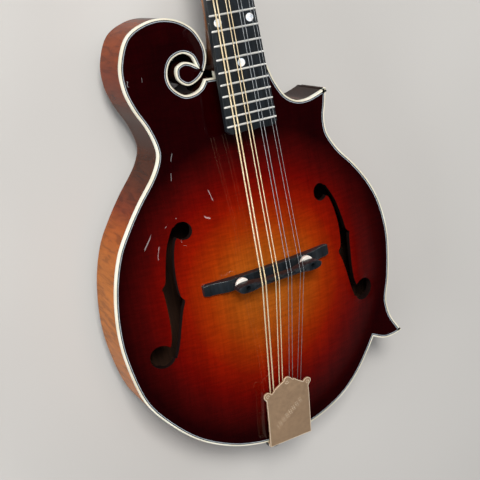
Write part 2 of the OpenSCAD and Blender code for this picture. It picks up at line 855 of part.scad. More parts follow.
// Places of the three screws in the leg, each axis pointing into the wood
module at_tail_screws() {
    for (p = [[-11, -7], [11, -7], [0, -29.5]])
        translate([tail_x + p.x, tail_edge_y - sheet_t, p.y]) rotate([-90, 0, 0]) children();
}

module tailpiece_screws() {
    color("silver") at_tail_screws() {
        translate([0, 0, -1.2]) cylinder(h = 1.2, r1 = 1.4, r2 = 2.6);
        cylinder(h = 13, r = tail_screw_r);
    }
}

// Outline of the cover: two lobes at the corners and a crest between them
cover_run = [
    [19, 2.2], [19, 20], [18.9, 42], [18.7, 46.6], [20.2, 48.8], [21.1, 50.8], [20.3, 53],
    [18, 54.2], [15.6, 53.6], [14, 52.2], [11.5, 53.6], [8.7, 55.7], [6.3, 57.6], [4.9, 57.7],
    [3, 59.8], [0.8, 61.2], [-1.5, 61], [-3, 59.7], [-3.7, 58.3], [-7, 56.7], [-11.5, 53.8],
    [-13.4, 51.6], [-14.5, 50.8], [-16.2, 52.4], [-18.8, 53.1], [-20.7, 52.1], [-21.5, 49.8],
    [-21.2, 47.9], [-19.9, 45.9], [-19.4, 43.5], [-19, 20], [-19, 2.2]
];
cover_wall_x = 14.7;            // the walls stand on the base plate's margins
cover_wall_t = 0.8;

module tailpiece_cover() {
    lip_low = 5.4;
    lip_half = 18.8;
    cover_end = 2.2;
    color("tan") on_tail() {
        translate([0, 0, cover_h - sheet_t]) linear_extrude(sheet_t)
            polygon(open_curve(cover_run, 3));
        for (side = [-1, 1])
            translate([side * (cover_wall_x + cover_wall_t / 2) - cover_wall_t / 2, cover_end,
                       sheet_t + 0.3])
                cube([cover_wall_t, 42, cover_h - 1.5 * sheet_t - 0.3]);
        translate([-lip_half, cover_end, lip_low])
            cube([2 * lip_half, sheet_t, cover_h - lip_low - 0.1]);
    }
}

module end_button() {
    color("black") translate([0, tail_edge_y - sheet_t, button_z]) rotate([90, 0, 0])
        rotate_extrude() polygon([
            [0, -16], [button_shank_r - 1, -16], [button_shank_r, -11], [button_shank_r, 0],
            [5.2, 0], [5.2, 1.6], [3.6, 3.2], [3.6, 7.6], [6.4, 9.6], [6.4, 12.4],
            [4.6, button_out - 0.2], [0, button_out]
        ]);
}

// ---- strings --------------------------------------------------------------------------------

// Places of one string in the drawing frame: its hook, the saddle and the nut
function hook_point(c, s) =
    let (x = tail_x + tail_string_x(c, s), y = hook_y - 2.2, z = hook_z)
        [x, tail_edge_y + y * cos(tail_tilt) - z * sin(tail_tilt),
         tail_edge_z + y * sin(tail_tilt) + z * cos(tail_tilt)];
function saddle_point(c, s) =
    let (x = saddle_course_x[c] + s * saddle_pair)
        [x, bridge_y + (x - bridge_x) * sin(bridge_turn), saddle_top + string_r[c] + 0.06];
function nut_point(c, s) =
    let (y = nut_t - 0.2, z = nut_rise + string_r[c] + 0.02)
        [nut_course_x[c] + s * nut_pair, nut_y + y * cos(neck_angle) + z * sin(neck_angle),
         nut_z - y * sin(neck_angle) + z * cos(neck_angle)];

// Where a string meets the inner side of its tuner's winding, in the headstock's frame
tuner_of = [[0, 1], [2, 3], [7, 6], [5, 4]];    // tuners of the lower and the upper string
function peg_point(c, s) =
    let (
        i = tuner_of[c][s > 0 ? 1 : 0], side = i < 4 ? -1 : 1,
        v = tuner_v(i) - side * (winding_r + string_r[c] + 0.2), u = tuner_u(i) - 1.5,
        w = winding_w
    ) [v, head_y + u * cos(head_tilt) + w * sin(head_tilt),
       head_z - u * sin(head_tilt) + w * cos(head_tilt)];

module course(c) {
    for (s = [-1, 1])
        tube([hook_point(c, s) + [0, 2.6, 0.6], saddle_point(c, s), nut_point(c, s),
              peg_point(c, s)], string_r[c]);
}

module strings_g() { color("khaki") course(0); }
module strings_d() { color("khaki") course(1); }
module strings_a() { color("lightsteelblue") course(2); }
module strings_e() { color("lightsteelblue") course(3); }

// ---- the instrument -------------------------------------------------------------------------

place() top_plate();
place() back_plate();
place() rib_bass();
place() rib_treble();
place() top_binding();
place() top_lining();
place() back_lining();
place() head_block();
place() tail_block();
place() point_blocks();
place() tone_bars();
place() neck();
place() heel_cap();
place() truss_rod();
place() truss_nut();
place() fingerboard();
place() frets();
place() fret_markers();
place() nut();
place() headstock_face();
place() truss_cover();
place() truss_cover_screws();
place() tuner_bushings();
place() tuner_plate_bass();
place() tuner_plate_treble();
place() tuner_plate_screws();
place() tuner_key_1();
place() tuner_key_2();
place() tuner_key_3();
place() tuner_key_4();
place() tuner_key_5();
place() tuner_key_6();
place() tuner_key_7();
place() tuner_key_8();
place() tuner_post_1();
place() tuner_post_2();
place() tuner_post_3();
place() tuner_post_4();
place() tuner_post_5();
place() tuner_post_6();
place() tuner_post_7();
place() tuner_post_8();
place() bridge_base();
place() bridge_posts();
place() bridge_saddle();
place() thumbwheel_bass();
place() thumbwheel_treble();
place() tailpiece_base();
place() tailpiece_screws();
place() tailpiece_cover();
place() end_button();
place() strings_g();
place() strings_d();
place() strings_a();
place() strings_e();
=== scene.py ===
"""The looks of a carved mandolin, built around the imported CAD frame.

Shapes are drawn in millimetres in the instrument's own axes: X to the treble side, Y to the
headstock, Z out of the top, with the origin on the bridge line at the height of the top's rim.
The neck, headstock, bridge and tailpiece have local frames of their own, found from the CAD's
joints and boxes: BOARD, HEAD, BRIDGE and TAIL. A place in the instrument's axes is BODY.
"""
import json
import math

import bmesh
import bpy
import numpy as np
from mathutils import Matrix, Vector
from mathutils.geometry import delaunay_2d_cdt

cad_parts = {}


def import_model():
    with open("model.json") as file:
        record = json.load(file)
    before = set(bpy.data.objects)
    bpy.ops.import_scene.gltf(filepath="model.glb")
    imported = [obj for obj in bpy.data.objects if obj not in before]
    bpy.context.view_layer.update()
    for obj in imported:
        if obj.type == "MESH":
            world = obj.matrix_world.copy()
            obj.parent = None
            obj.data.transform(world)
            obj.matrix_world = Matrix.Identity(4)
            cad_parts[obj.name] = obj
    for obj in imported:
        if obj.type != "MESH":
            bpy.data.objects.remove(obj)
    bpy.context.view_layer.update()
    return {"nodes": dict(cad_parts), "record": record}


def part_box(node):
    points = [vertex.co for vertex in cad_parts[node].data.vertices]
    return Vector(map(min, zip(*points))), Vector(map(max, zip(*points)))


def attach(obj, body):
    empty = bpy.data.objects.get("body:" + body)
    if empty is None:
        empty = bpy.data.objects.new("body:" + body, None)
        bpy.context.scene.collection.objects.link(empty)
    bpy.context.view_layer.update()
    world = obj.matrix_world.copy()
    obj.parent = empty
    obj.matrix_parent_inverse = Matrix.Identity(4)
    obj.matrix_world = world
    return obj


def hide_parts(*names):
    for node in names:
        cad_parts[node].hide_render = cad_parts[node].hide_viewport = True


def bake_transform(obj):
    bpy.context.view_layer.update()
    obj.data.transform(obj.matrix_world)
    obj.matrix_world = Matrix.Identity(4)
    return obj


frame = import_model()

MM = 0.001
RECORD = frame["record"]
JOINTS = {j["name"]: j for j in RECORD["behaviour"]["joints"]}

# ---- places taken from the frame ------------------------------------------------------------


def node_box(node):
    """Lowest and highest corner of a CAD node, in millimetres of the row frame."""
    low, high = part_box(node)
    return low / MM, high / MM


def joint_place(name):
    """A joint's point in millimetres of the row frame, and its axis."""
    joint = JOINTS[name]
    return Vector(joint.get("pos_m", (0, 0, 0))) / MM, Vector(joint["axis"])


BRIDGE_SETBACK = 3.15               # bridge's middle behind the bridge line
posts_low, posts_high = node_box("bridge_posts")
rim_high = node_box("top_binding")[1].z
board_low, board_high = node_box("fingerboard")
ORIGIN = Vector(((board_low.x + board_high.x) / 2,
                 (posts_low.y + posts_high.y) / 2 + BRIDGE_SETBACK, rim_high))


def frame_at(point, along, up):
    """Matrix of a local frame: its origin, its Y and its Z, in the instrument's axes."""
    along, up = along.normalized(), up.normalized()
    across = along.cross(up)
    matrix = Matrix((across, along, up)).transposed().to_4x4()
    matrix.translation = point
    return matrix


def shift(x, y, z=0):
    return Matrix.Translation((x, y, z))


def turned(degrees, axis):
    return Matrix.Rotation(math.radians(degrees), 4, axis)


BODY = Matrix.Identity(4)
BOARD_T = 5
ROD_DEPTH = 11                      # truss rod's axis below the fingerboard's surface
ROD_PLACE = 10                      # and the point of its joint, beyond the nut line
rod_point, rod_axis = joint_place("truss_nut_turn")
board_up = Vector((0, -rod_axis.z, rod_axis.y))
BOARD = frame_at(rod_point - ORIGIN - ROD_PLACE * rod_axis + ROD_DEPTH * board_up,
                 rod_axis, board_up)

TUNER_START = 36
posts = [joint_place(f"post_{i}_turn")[0] - ORIGIN for i in range(1, 9)]
head_along = posts[3] - posts[0]
TUNER_PITCH = head_along.length / 3
TUNER_X = posts[4].x
head_along.normalize()
head_up = joint_place("post_1_turn")[1]
HEAD = frame_at(Vector((0, posts[0].y, posts[0].z)) - TUNER_START * head_along,
                head_along, head_up)

wheels = [joint_place(f"thumbwheel_{side}_turn")[0] - ORIGIN for side in ("bass", "treble")]
POST_X = (wheels[1] - wheels[0]).length / 2
bridge_across = (wheels[1] - wheels[0]).normalized()
bridge_middle = (wheels[0] + wheels[1]) / 2
BRIDGE = frame_at(Vector((bridge_middle.x, bridge_middle.y, 0)),
                  Vector((0, 0, 1)).cross(bridge_across), Vector((0, 0, 1)))

SHEET_T = 1.3
LEG_FOOT = 33.8                     # foot of the tailpiece's leg below the bend's inner corner
tail_axis = -joint_place("cover_slide")[1]
tail_low, tail_high = node_box("tailpiece_base")
TAIL = frame_at(Vector(((tail_low.x + tail_high.x) / 2, tail_low.y + SHEET_T,
                        tail_low.z + LEG_FOOT)) - ORIGIN,
                tail_axis, Vector((0, -tail_axis.z, tail_axis.y)))

# ---- plane curves ---------------------------------------------------------------------------


def catmull(a, b, c, d, t):
    return 0.5 * (2 * b + (c - a) * t + (2 * a - 5 * b + 4 * c - d) * t * t
                  + (3 * b - a - 3 * c + d) * t ** 3)


def open_curve(points, steps=8):
    """A smooth curve through the points, without its last point."""
    p = [np.array(q, float) for q in points]
    last = len(p) - 1
    return [catmull(p[max(i - 1, 0)], p[i], p[i + 1], p[min(i + 2, last)], s / steps)
            for i in range(last) for s in range(steps)]


def closed_curve(points, steps=8):
    p = [np.array(q, float) for q in points]
    n = len(p)
    return [catmull(p[i - 1], p[i], p[(i + 1) % n], p[(i + 2) % n], s / steps)
            for i in range(n) for s in range(steps)]


def area(loop):
    p = np.array(loop)
    q = np.roll(p, -1, axis=0)
    return float(np.sum(p[:, 0] * q[:, 1] - q[:, 0] * p[:, 1]) / 2)


def inset(loop, distance, miter=3.0):
    """The closed loop moved inwards by a distance, each corner on its bisector."""
    p = np.array(loop, float)
    sign = 1 if area(loop) > 0 else -1
    before = p - np.roll(p, 1, axis=0)
    after = np.roll(p, -1, axis=0) - p
    before /= np.linalg.norm(before, axis=1)[:, None] + 1e-12
    after /= np.linalg.norm(after, axis=1)[:, None] + 1e-12
    n_before = sign * np.stack([-before[:, 1], before[:, 0]], 1)
    n_after = sign * np.stack([-after[:, 1], after[:, 0]], 1)
    bisector = n_before + n_after
    length = np.linalg.norm(bisector, axis=1)[:, None] + 1e-9
    bisector /= length
    stretch = np.minimum(1 / np.maximum((bisector * n_before).sum(1), 1e-3), miter)
    return p + bisector * stretch[:, None] * distance


def resample(loop, step):
    """The closed loop with even steps."""
    p = np.array(loop, float)
    q = np.vstack([p, p[:1]])
    s = np.concatenate([[0], np.cumsum(np.linalg.norm(np.diff(q, axis=0), axis=1))])
    count = max(8, int(round(s[-1] / step)))
    t = np.linspace(0, s[-1], count, endpoint=False)
    return np.stack([np.interp(t, s, q[:, 0]), np.interp(t, s, q[:, 1])], 1)


def inside(loop, points):
    """Which points lie inside the closed loop."""
    p = np.array(loop)
    q = np.roll(p, -1, axis=0)
    x, y = points[:, 0][:, None], points[:, 1][:, None]
    crosses = (p[:, 1] > y) != (q[:, 1] > y)
    rise = np.where(q[:, 1] == p[:, 1], 1e-12, q[:, 1] - p[:, 1])
    at = p[:, 0] + (y - p[:, 1]) * (q[:, 0] - p[:, 0]) / rise
    return (crosses & (x < at)).sum(1) % 2 == 1


def edge_distance(loop, points):
    """Distance of each point from the closed loop's edge."""
    p = np.array(loop)
    q = np.roll(p, -1, axis=0)
    d = q - p
    square = (d ** 2).sum(1) + 1e-12
    best = np.full(len(points), 1e9)
    for start in range(0, len(points), 2000):
        part = points[start:start + 2000]
        r = part[:, None, :] - p[None]
        t = np.clip((r * d).sum(2) / square, 0, 1)
        gap = np.linalg.norm(r - t[..., None] * d, axis=2)
        best[start:start + 2000] = gap.min(1)
    return best


def arc(centre, radius, start, end, count):
    """Points along an arc between two angles in degrees, both ends included."""
    angles = [math.radians(start + (end - start) * k / count) for k in range(count + 1)]
    return [(centre[0] + radius * math.cos(a), centre[1] + radius * math.sin(a)) for a in angles]


def circle(radius, count):
    return arc((0, 0), radius, 0, 360, count)[:-1]


# ---- shapes: lists of points and faces in millimetres ---------------------------------------


class Shape:
    """Points and faces, each face with the number of its material."""

    def __init__(self):
        self.points, self.faces, self.slots = [], [], []

    def add(self, part, material=0, place=None):
        points, faces = part
        base = len(self.points)
        for p in points:
            v = Vector((float(p[0]), float(p[1]), float(p[2])))
            self.points.append(place @ v if place is not None else v)
        self.faces += [tuple(base + i for i in f) for f in faces]
        self.slots += [material] * len(faces)
        return self


def skin(rings, closed_path=False):
    """Faces over a row of rings with equal counts of points, capped unless the path closes."""
    n, m = len(rings[0]), len(rings)
    faces = []
    for k in range(m if closed_path else m - 1):
        a, b = k * n, (k + 1) % m * n
        faces += [(a + i, a + (i + 1) % n, b + (i + 1) % n, b + i) for i in range(n)]
    if not closed_path:
        faces += [tuple(range(n - 1, -1, -1)), tuple(range((m - 1) * n, m * n))]
    return [p for ring in rings for p in ring], faces


def lathe(profile, sides=48, closed_path=False):
    """A solid turned about Z from (radius, height) points, lowest first."""
    return skin([[(x, y, z) for x, y in circle(r, sides)] for r, z in profile], closed_path)


def stacked(outline, profile, closed_path=False):
    """Copies of a loop one after the other: the profile gives each one's inset and height."""
    loop = np.array(outline, float)
    loop = loop[::-1] if area(loop) < 0 else loop
    return skin([[(x, y, z) for x, y in inset(loop, distance)] for distance, z in profile],
                closed_path)


def prism(outline, low, high, edge=0.2, low_edge=None):
    """An upright prism with rounded edges."""
    low_edge = edge if low_edge is None else low_edge
    rounding = [(1 - math.cos(a), math.sin(a)) for a in (math.pi / 6 * k for k in range(4))]
    levels = [(low_edge * d, low + low_edge * (1 - h)) for d, h in reversed(rounding)]
    levels += [(edge * d, high - edge * (1 - h)) for d, h in rounding]
    return stacked(outline, levels)


def band(loop, profile):
    """A closed band round a loop: the profile is its section."""
    return stacked(loop, profile, closed_path=True)


def box_part(low, high, edge=0.2):
    (x0, y0, z0), (x1, y1, z1) = low, high
    return prism([(x0, y0), (x1, y0), (x1, y1), (x0, y1)], z0, z1, edge)


def tube(path, radius, sides=12):
    """A round rod along a path, without twist."""
    p = [Vector(q) for q in path]
    tangent = (p[1] - p[0]).normalized()
    side = tangent.orthogonal().normalized()
    rings = []
    for i, q in enumerate(p):
        onward = (p[min(i + 1, len(p) - 1)] - p[max(i - 1, 0)]).normalized()
        side = (tangent.rotation_difference(onward) @ side).normalized()
        tangent = onward
        across = tangent.cross(side)
        rings.append([q + x * side + y * across for x, y in circle(radius, sides)])
    return skin(rings)


def threaded(radius, depth, pitch, length, sides=36, steps=8):
    """A screw thread about Z, as a ridge that winds round a rod."""
    rows = int(length / pitch * steps)
    rings = []
    for z in (length * k / rows for k in range(rows + 1)):
        ring = []
        for turn in (i / sides for i in range(sides)):
            r = radius - depth * abs(2 * ((z / pitch - turn) % 1) - 1)
            ring.append((r * math.cos(2 * math.pi * turn), r * math.sin(2 * math.pi * turn), z))
        rings.append(ring)
    return skin(rings)


def joined(parts):
    """Several (points, faces) parts as one."""
    shape = Shape()
    for part in parts:
        shape.add(part)
    return shape.points, shape.faces


def screw_head(radius, height, slot=0.22):
    """A domed screw head with a slot across it, on a short shank."""
    parts = [lathe([(radius * 0.5, -2.5), (radius * 0.5, 0), (radius, 0),
                    (radius, height * 0.35)], 28)]
    start = math.degrees(math.asin(slot / radius))
    half = arc((0, 0), radius, start, 180 - start, 14)
    for side in (1, -1):
        parts.append(prism([(x, side * y) for x, y in half], height * 0.33, height,
                           min(0.25, height * 0.3), 0.01))
    return joined(parts)


def triangulated(outer, holes, spacing, margin):
    """Points and triangles that fill a loop, holes left out, with an even field inside."""
    loops = [np.array(loop, float) for loop in (outer, *holes)]

    def filled(points):
        return sum(inside(loop, points).astype(int) for loop in loops) == 1

    (left, low), (right, high) = loops[0].min(0), loops[0].max(0)
    rows = np.arange(low, high, spacing * math.sqrt(3) / 2)
    field = np.array([(x, y) for k, y in enumerate(rows)
                      for x in np.arange(left + k % 2 * spacing / 2, right, spacing)])
    clear = np.min([edge_distance(loop, field) for loop in loops], axis=0) > margin
    points = [Vector(p) for part in (*loops, field[filled(field) & clear]) for p in part]
    edges, base = [], 0
    for n in map(len, loops):
        edges += [(base + i, base + (i + 1) % n) for i in range(n)]
        base += n
    made = delaunay_2d_cdt(points, edges, [], 0, 1e-5)
    verts, faces = np.array([tuple(v) for v in made[0]]), np.array([tuple(f) for f in made[2]])
    faces = faces[filled(verts[faces].mean(1))]
    corners = verts[faces]
    (x1, y1), (x2, y2) = (corners[:, 1] - corners[:, 0]).T, (corners[:, 2] - corners[:, 0]).T
    wrong = x1 * y2 <= y1 * x2
    faces[wrong] = faces[wrong, ::-1]
    used, index = np.unique(faces, return_inverse=True)
    return verts[used], [tuple(f) for f in index.reshape(-1, 3).tolist()]


def border_edges(faces):
    """Directed edges that only one face uses."""
    seen = {(f[i], f[(i + 1) % len(f)]) for f in faces for i in range(len(f))}
    return [(a, b) for a, b in seen if (b, a) not in seen]


# ---- materials ------------------------------------------------------------------------------


def rgb(r, g, b):
    """Linear colour from the usual 0 to 255 values."""
    def linear(c):
        c /= 255
        return c / 12.92 if c <= 0.04045 else ((c + 0.055) / 1.055) ** 2.4
    return (linear(r), linear(g), linear(b), 1.0)


class Nodes:
    """Short calls for building one material's node tree."""

    def __init__(self, name, **values):
        self.material = bpy.data.materials.new(name)
        self.material.use_nodes = True
        self.tree = self.material.node_tree
        self.shader = self.tree.nodes["Principled BSDF"]
        for socket, value in values.items():
            self.shader.inputs[socket.replace("_", " ")].default_value = value
        self.object_space = self.node("TexCoord", "Object", {})

    def node(self, kind, output, inputs, **settings):
        """One output of a new node whose inputs are set to values or linked to sockets."""
        made = self.tree.nodes.new("ShaderNode" + kind)
        for key, value in settings.items():
            setattr(made, key, value)
        for socket, value in inputs.items():
            if isinstance(value, bpy.types.NodeSocket):
                self.tree.links.new(value, made.inputs[socket])
            else:
                made.inputs[socket].default_value = value
        return made.outputs[output]

    def noise(self, scale, detail=3.0, roughness=0.5, stretch=None, distortion=0.0):
        place = self.object_space
        if stretch:
            place = self.node("Mapping", "Vector", {"Vector": place, "Scale": stretch})
        return self.node("TexNoise", "Fac", {
            "Vector": place, "Scale": scale, "Detail": detail, "Roughness": roughness,
            "Distortion": distortion})

    def ramp(self, factor, stops, smooth=False):
        """Colours along a factor: each stop is (place, red, green, blue) or (place, grey)."""
        made = self.node("ValToRGB", "Color", {"Fac": factor})
        ramp = made.node.color_ramp
        ramp.interpolation = "EASE" if smooth else "LINEAR"
        while len(ramp.elements) < len(stops):
            ramp.elements.new(0.5)
        for element, (place, *colour) in zip(ramp.elements, stops):
            element.position = place
            element.color = rgb(*colour) if len(colour) == 3 else (colour[0],) * 3 + (1,)
        return made

    def shaded(self, share, colour, factor):
        """The colour with that share of it multiplied by the factor."""
        return self.node("Mix", 2, {0: share, 6: colour, 7: factor}, data_type="RGBA",
                         blend_type="MULTIPLY")

    def math(self, operation, *values):
        return self.node("Math", 0, dict(enumerate(values)), operation=operation)

    def span(self, value, to_low, to_high):
        """The middle of a noise's values, 0.3 to 0.7, spread over another span."""
        return self.node("MapRange", "Result", {
            "Value": value, "From Min": 0.3, "From Max": 0.7, "To Min": to_low,
            "To Max": to_high})

    def attribute(self, name):
        return self.node("Attribute", "Fac", {}, attribute_name=name)

    def feed(self, socket, source):
        self.tree.links.new(source, self.shader.inputs[socket])

    def colour(self, source):
        self.feed("Base Color", source)

    def roughness(self, source, low, high):
        self.feed("Roughness", self.span(source, low, high))

    def bump(self, height, strength, distance):
        self.feed("Normal", self.node("Bump", "Normal", {
            "Strength": strength, "Distance": distance, "Height": height}))


# only the lacquer shines, so that the colour under it stays deep
LACQUERED = {"Specular_IOR_Level": 0.0, "Coat_IOR": 1.45}


def burst_top():
    """Amber to near-black maroon lacquer over fine straight spruce grain."""
    m = Nodes("burst_spruce", Roughness=0.45, Coat_Weight=1.0, Coat_Roughness=0.015, **LACQUERED)
    uneven = m.math("MULTIPLY_ADD", m.noise(24, 3, 0.6), 0.07, m.attribute("burst"))
    base = m.ramp(m.math("SUBTRACT", uneven, 0.035), [
        (0.0, 156, 83, 20), (0.2, 150, 66, 11), (0.35, 139, 41, 3), (0.5, 122, 17, 1),
        (0.65, 93, 5, 1), (0.8, 64, 4, 3), (0.92, 44, 2, 2), (1.0, 26, 0, 1)])
    rings = m.noise(640, 2, 0.7, stretch=(1, 0.012, 0.6))
    wide = m.noise(130, 2, 0.5, stretch=(1, 0.02, 0.6))
    silk = m.noise(480, 3, 0.65, stretch=(0.14, 1, 0.5))
    grain = m.math("ADD", m.math("MULTIPLY", rings, 0.5), m.math("MULTIPLY", wide, 0.5))
    lined = m.shaded(0.6, base, m.ramp(grain, [(0.38, 0.66), (0.6, 1.04)]))
    m.colour(m.shaded(0.75, lined, m.ramp(silk, [(0.36, 0.8), (0.64, 1.12)])))
    m.roughness(silk, 0.4, 0.52)
    return m.material


def figured_maple(name, stops, tone, flame_scale, flame_stretch, gloss=1.0, figure=0.55):
    """Lacquered maple with curly figure; the stops colour it along the named tone."""
    m = Nodes(name, Roughness=0.4, Coat_Weight=gloss, Coat_Roughness=0.03, **LACQUERED)
    flame = m.noise(flame_scale, 2, 0.55, stretch=flame_stretch, distortion=0.6)
    pores = m.noise(900, 2, 0.6, stretch=(0.12, 1, 1))
    stripe = m.ramp(flame, [(0.36, 0.48), (0.5, 0.95), (0.64, 1.25)], smooth=True)
    figured = m.shaded(figure, m.ramp(m.attribute(tone), stops), stripe)
    m.colour(m.shaded(0.6, figured, m.ramp(pores, [(0.3, 0.86), (0.6, 1.0)])))
    m.roughness(flame, 0.3, 0.48)
    m.bump(pores, 0.05, 0.0002)
    return m.material


def ebony():
    m = Nodes("ebony", Roughness=0.45, Specular_IOR_Level=0.4, Coat_Weight=0.1,
              Coat_Roughness=0.22)
    grain = m.noise(520, 3, 0.65, stretch=(1, 0.05, 1))
    pore = m.noise(1500, 2, 0.6, stretch=(1, 0.08, 1))
    m.colour(m.ramp(grain, [(0.32, 8, 11, 14), (0.7, 24, 31, 37)]))
    m.roughness(pore, 0.34, 0.52)
    m.bump(pore, 0.12, 0.0002)
    return m.material


def ivory_binding():
    """Cream binding, slightly yellower and duller in places, under clear lacquer."""
    m = Nodes("ivory_binding", Roughness=0.35, Coat_Weight=0.8, Coat_Roughness=0.04,
              Subsurface_Weight=0.06, Subsurface_Scale=0.002)
    lines = m.noise(700, 2, 0.5, stretch=(0.3, 0.3, 1))
    base = m.ramp(m.noise(28, 3, 0.6), [(0.32, 212, 205, 182), (0.7, 236, 232, 217)])
    m.colour(m.shaded(0.25, base, m.ramp(lines, [(0.3, 0.86), (0.7, 1.0)])))
    return m.material


def wound_wire():
    """Round winding of phosphor bronze: ridges across the string, with painted shade in the
    grooves between them.
    """
    m = Nodes("wound_wire", Metallic=0.45, Roughness=0.4)
    ridges = m.node("TexWave", "Fac", {"Vector": m.object_space, "Scale": 620},
                    wave_type="BANDS", bands_direction="Y")
    base = m.ramp(m.noise(60, 2), [(0.3, 226, 202, 158), (0.7, 244, 228, 192)])
    # grooves between the windings painted darker: painted shade
    m.colour(m.shaded(0.35, base, m.ramp(ridges, [(0.1, 0.55), (0.6, 1.0)])))
    m.bump(ridges, 0.5, 0.0002)
    return m.material


def grained(name, noise, stops, rough=None, bump=None, **values):
    """A material whose colour, and roughness and bump where given, follow one noise."""
    m = Nodes(name, **values)
    grain = m.noise(*noise)
    m.colour(m.ramp(grain, stops))
    if rough:
        m.roughness(grain, *rough)
    if bump:
        m.bump(grain, *bump)
    return m.material


def bare_wood(name, light, dark):
    return grained(name, (420, 3, 0.6, (1, 0.05, 1)), [(0.3, *dark), (0.7, *light)],
                   bump=(0.2, 0.0003), Roughness=0.75, Specular_IOR_Level=0.15)


def purfling(name, light, dark):
    return grained(name, (300, 2), [(0.3, *dark), (0.7, *light)], Roughness=0.4,
                   Coat_Weight=1.0, Coat_Roughness=0.02)


def metal(name, light, dark, rough, metallic=1.0, scale=180, stretch=None, bump=0.03):
    """Metal with faint tarnish and fine wear that runs along its finish."""
    return grained(name, (scale, 4, 0.6, stretch), [(0.3, *dark), (0.65, *light)], rough,
                   (bump, 0.0001), Metallic=metallic)


TOP_WOOD = burst_top()
BACK_WOOD = figured_maple("burst_maple", [
    (0.0, 190, 104, 28), (0.35, 172, 70, 14), (0.6, 112, 26, 6), (0.85, 52, 8, 4),
    (1.0, 30, 4, 3)], "burst", 70, (0.12, 1, 0.4))
RIB_WOOD = figured_maple("rib_maple", [
    (0.0, 172, 104, 36), (0.25, 154, 78, 22), (0.45, 108, 40, 11), (0.7, 66, 28, 9),
    (1.0, 36, 14, 7)], "burst", 230, (1, 1, 0.2), gloss=0.4, figure=0.6)
EDGE_WOOD = figured_maple("back_edge_maple", [
    (0.0, 164, 98, 34), (0.25, 150, 80, 25), (0.45, 112, 45, 14), (0.7, 74, 33, 12),
    (1.0, 36, 15, 8)], "side", 230, (1, 1, 0.2), gloss=0.4, figure=0.6)
NECK_WOOD = figured_maple("neck_maple", [
    (0.0, 150, 104, 66), (0.5, 122, 76, 46), (1.0, 48, 26, 18)],
    "burst", 60, (0.2, 1, 0.5), gloss=0.5, figure=0.35)
# inside wood painted near black: painted shade of the closed body's inside, where it shows through
# the f-holes
INNER_WOOD_PAINTED_SHADE = bare_wood("inner_wood", (56, 35, 23), (38, 23, 16))
BAR_WOOD = bare_wood("bar_spruce", (214, 184, 136), (184, 146, 96))
CUT_WOOD = bare_wood("f_hole_edge", (26, 9, 6), (14, 5, 4))
EBONY = ebony()
LACQUER = grained("black_lacquer", (30, 3), [(0.3, 10, 9, 10), (0.7, 18, 16, 17)],
                  Roughness=0.35, Coat_Weight=1.0, Coat_Roughness=0.02)
PLASTIC = grained("black_plastic", (900, 2), [(0.3, 17, 17, 18), (0.7, 27, 27, 29)],
                  (0.25, 0.38), (0.06, 0.0001), Roughness=0.3, Coat_Weight=0.4,
                  Coat_Roughness=0.1)
BINDING = ivory_binding()
PURF_DARK = purfling("purfling_black", (16, 18, 24), (8, 9, 12))
PURF_LIGHT = purfling("purfling_white", (186, 194, 202), (156, 166, 176))
PEARL = grained("pearl", (210, 4, 0.6, None, 2.0), [
    (0.28, 150, 168, 190), (0.45, 214, 222, 230), (0.58, 240, 232, 226), (0.75, 186, 204, 214)],
    (0.12, 0.3), Roughness=0.18, Coat_Weight=0.6, Coat_Roughness=0.05)
BUTTON = grained("button_pearloid", (120, 3, 0.6, None, 1.5), [
    (0.3, 206, 198, 178), (0.52, 240, 235, 222), (0.7, 222, 216, 200)],
    Roughness=0.22, Coat_Weight=0.5, Coat_Roughness=0.06,
    Subsurface_Weight=0.1, Subsurface_Scale=0.003)
BONE = grained("bone", (420, 3, 0.6, (0.15, 1, 1)), [(0.3, 218, 206, 176), (0.7, 238, 231, 210)],
               bump=(0.08, 0.0001), Roughness=0.35, Subsurface_Weight=0.08,
               Subsurface_Scale=0.002)
NICKEL = metal("nickel", (222, 218, 208), (184, 180, 170), (0.12, 0.24))
FRET = metal("fret_wire", (232, 230, 224), (206, 206, 202), (0.3, 0.42), 0.45, 400, (0.1, 1, 1))
STEEL = metal("steel", (150, 150, 150), (96, 94, 92), (0.3, 0.5))
BRASS = metal("brass", (214, 176, 96), (160, 122, 58), (0.2, 0.36))
BRONZE = metal("bronze", (206, 172, 132), (170, 136, 102), (0.2, 0.34))
SATIN = metal("bronze_satin", (188, 157, 126), (176, 146, 117), (0.5, 0.6), 0.6, 260, bump=0.04)
WHEEL = metal("frosted_nickel", (244, 238, 230), (222, 216, 206), (0.4, 0.55), 0.3)
PLAIN = metal("plain_wire", (186, 190, 192), (150, 154, 156), (0.3, 0.42), 0.75)
# a lighter copy of the cover's bronze: painted highlight on the cover's edges and painted glints
# on its engraving
BRONZE_PAINTED_HIGHLIGHT = metal("bronze_painted_highlight", (250, 234, 210), (232, 212, 184), (0.3, 0.4), 0.3)
WOUND = wound_wire()

ROOT = "instrument"
TO_ROW = Matrix.Translation(ORIGIN * MM) @ Matrix.Scale(MM, 4)    # from the instrument's axes


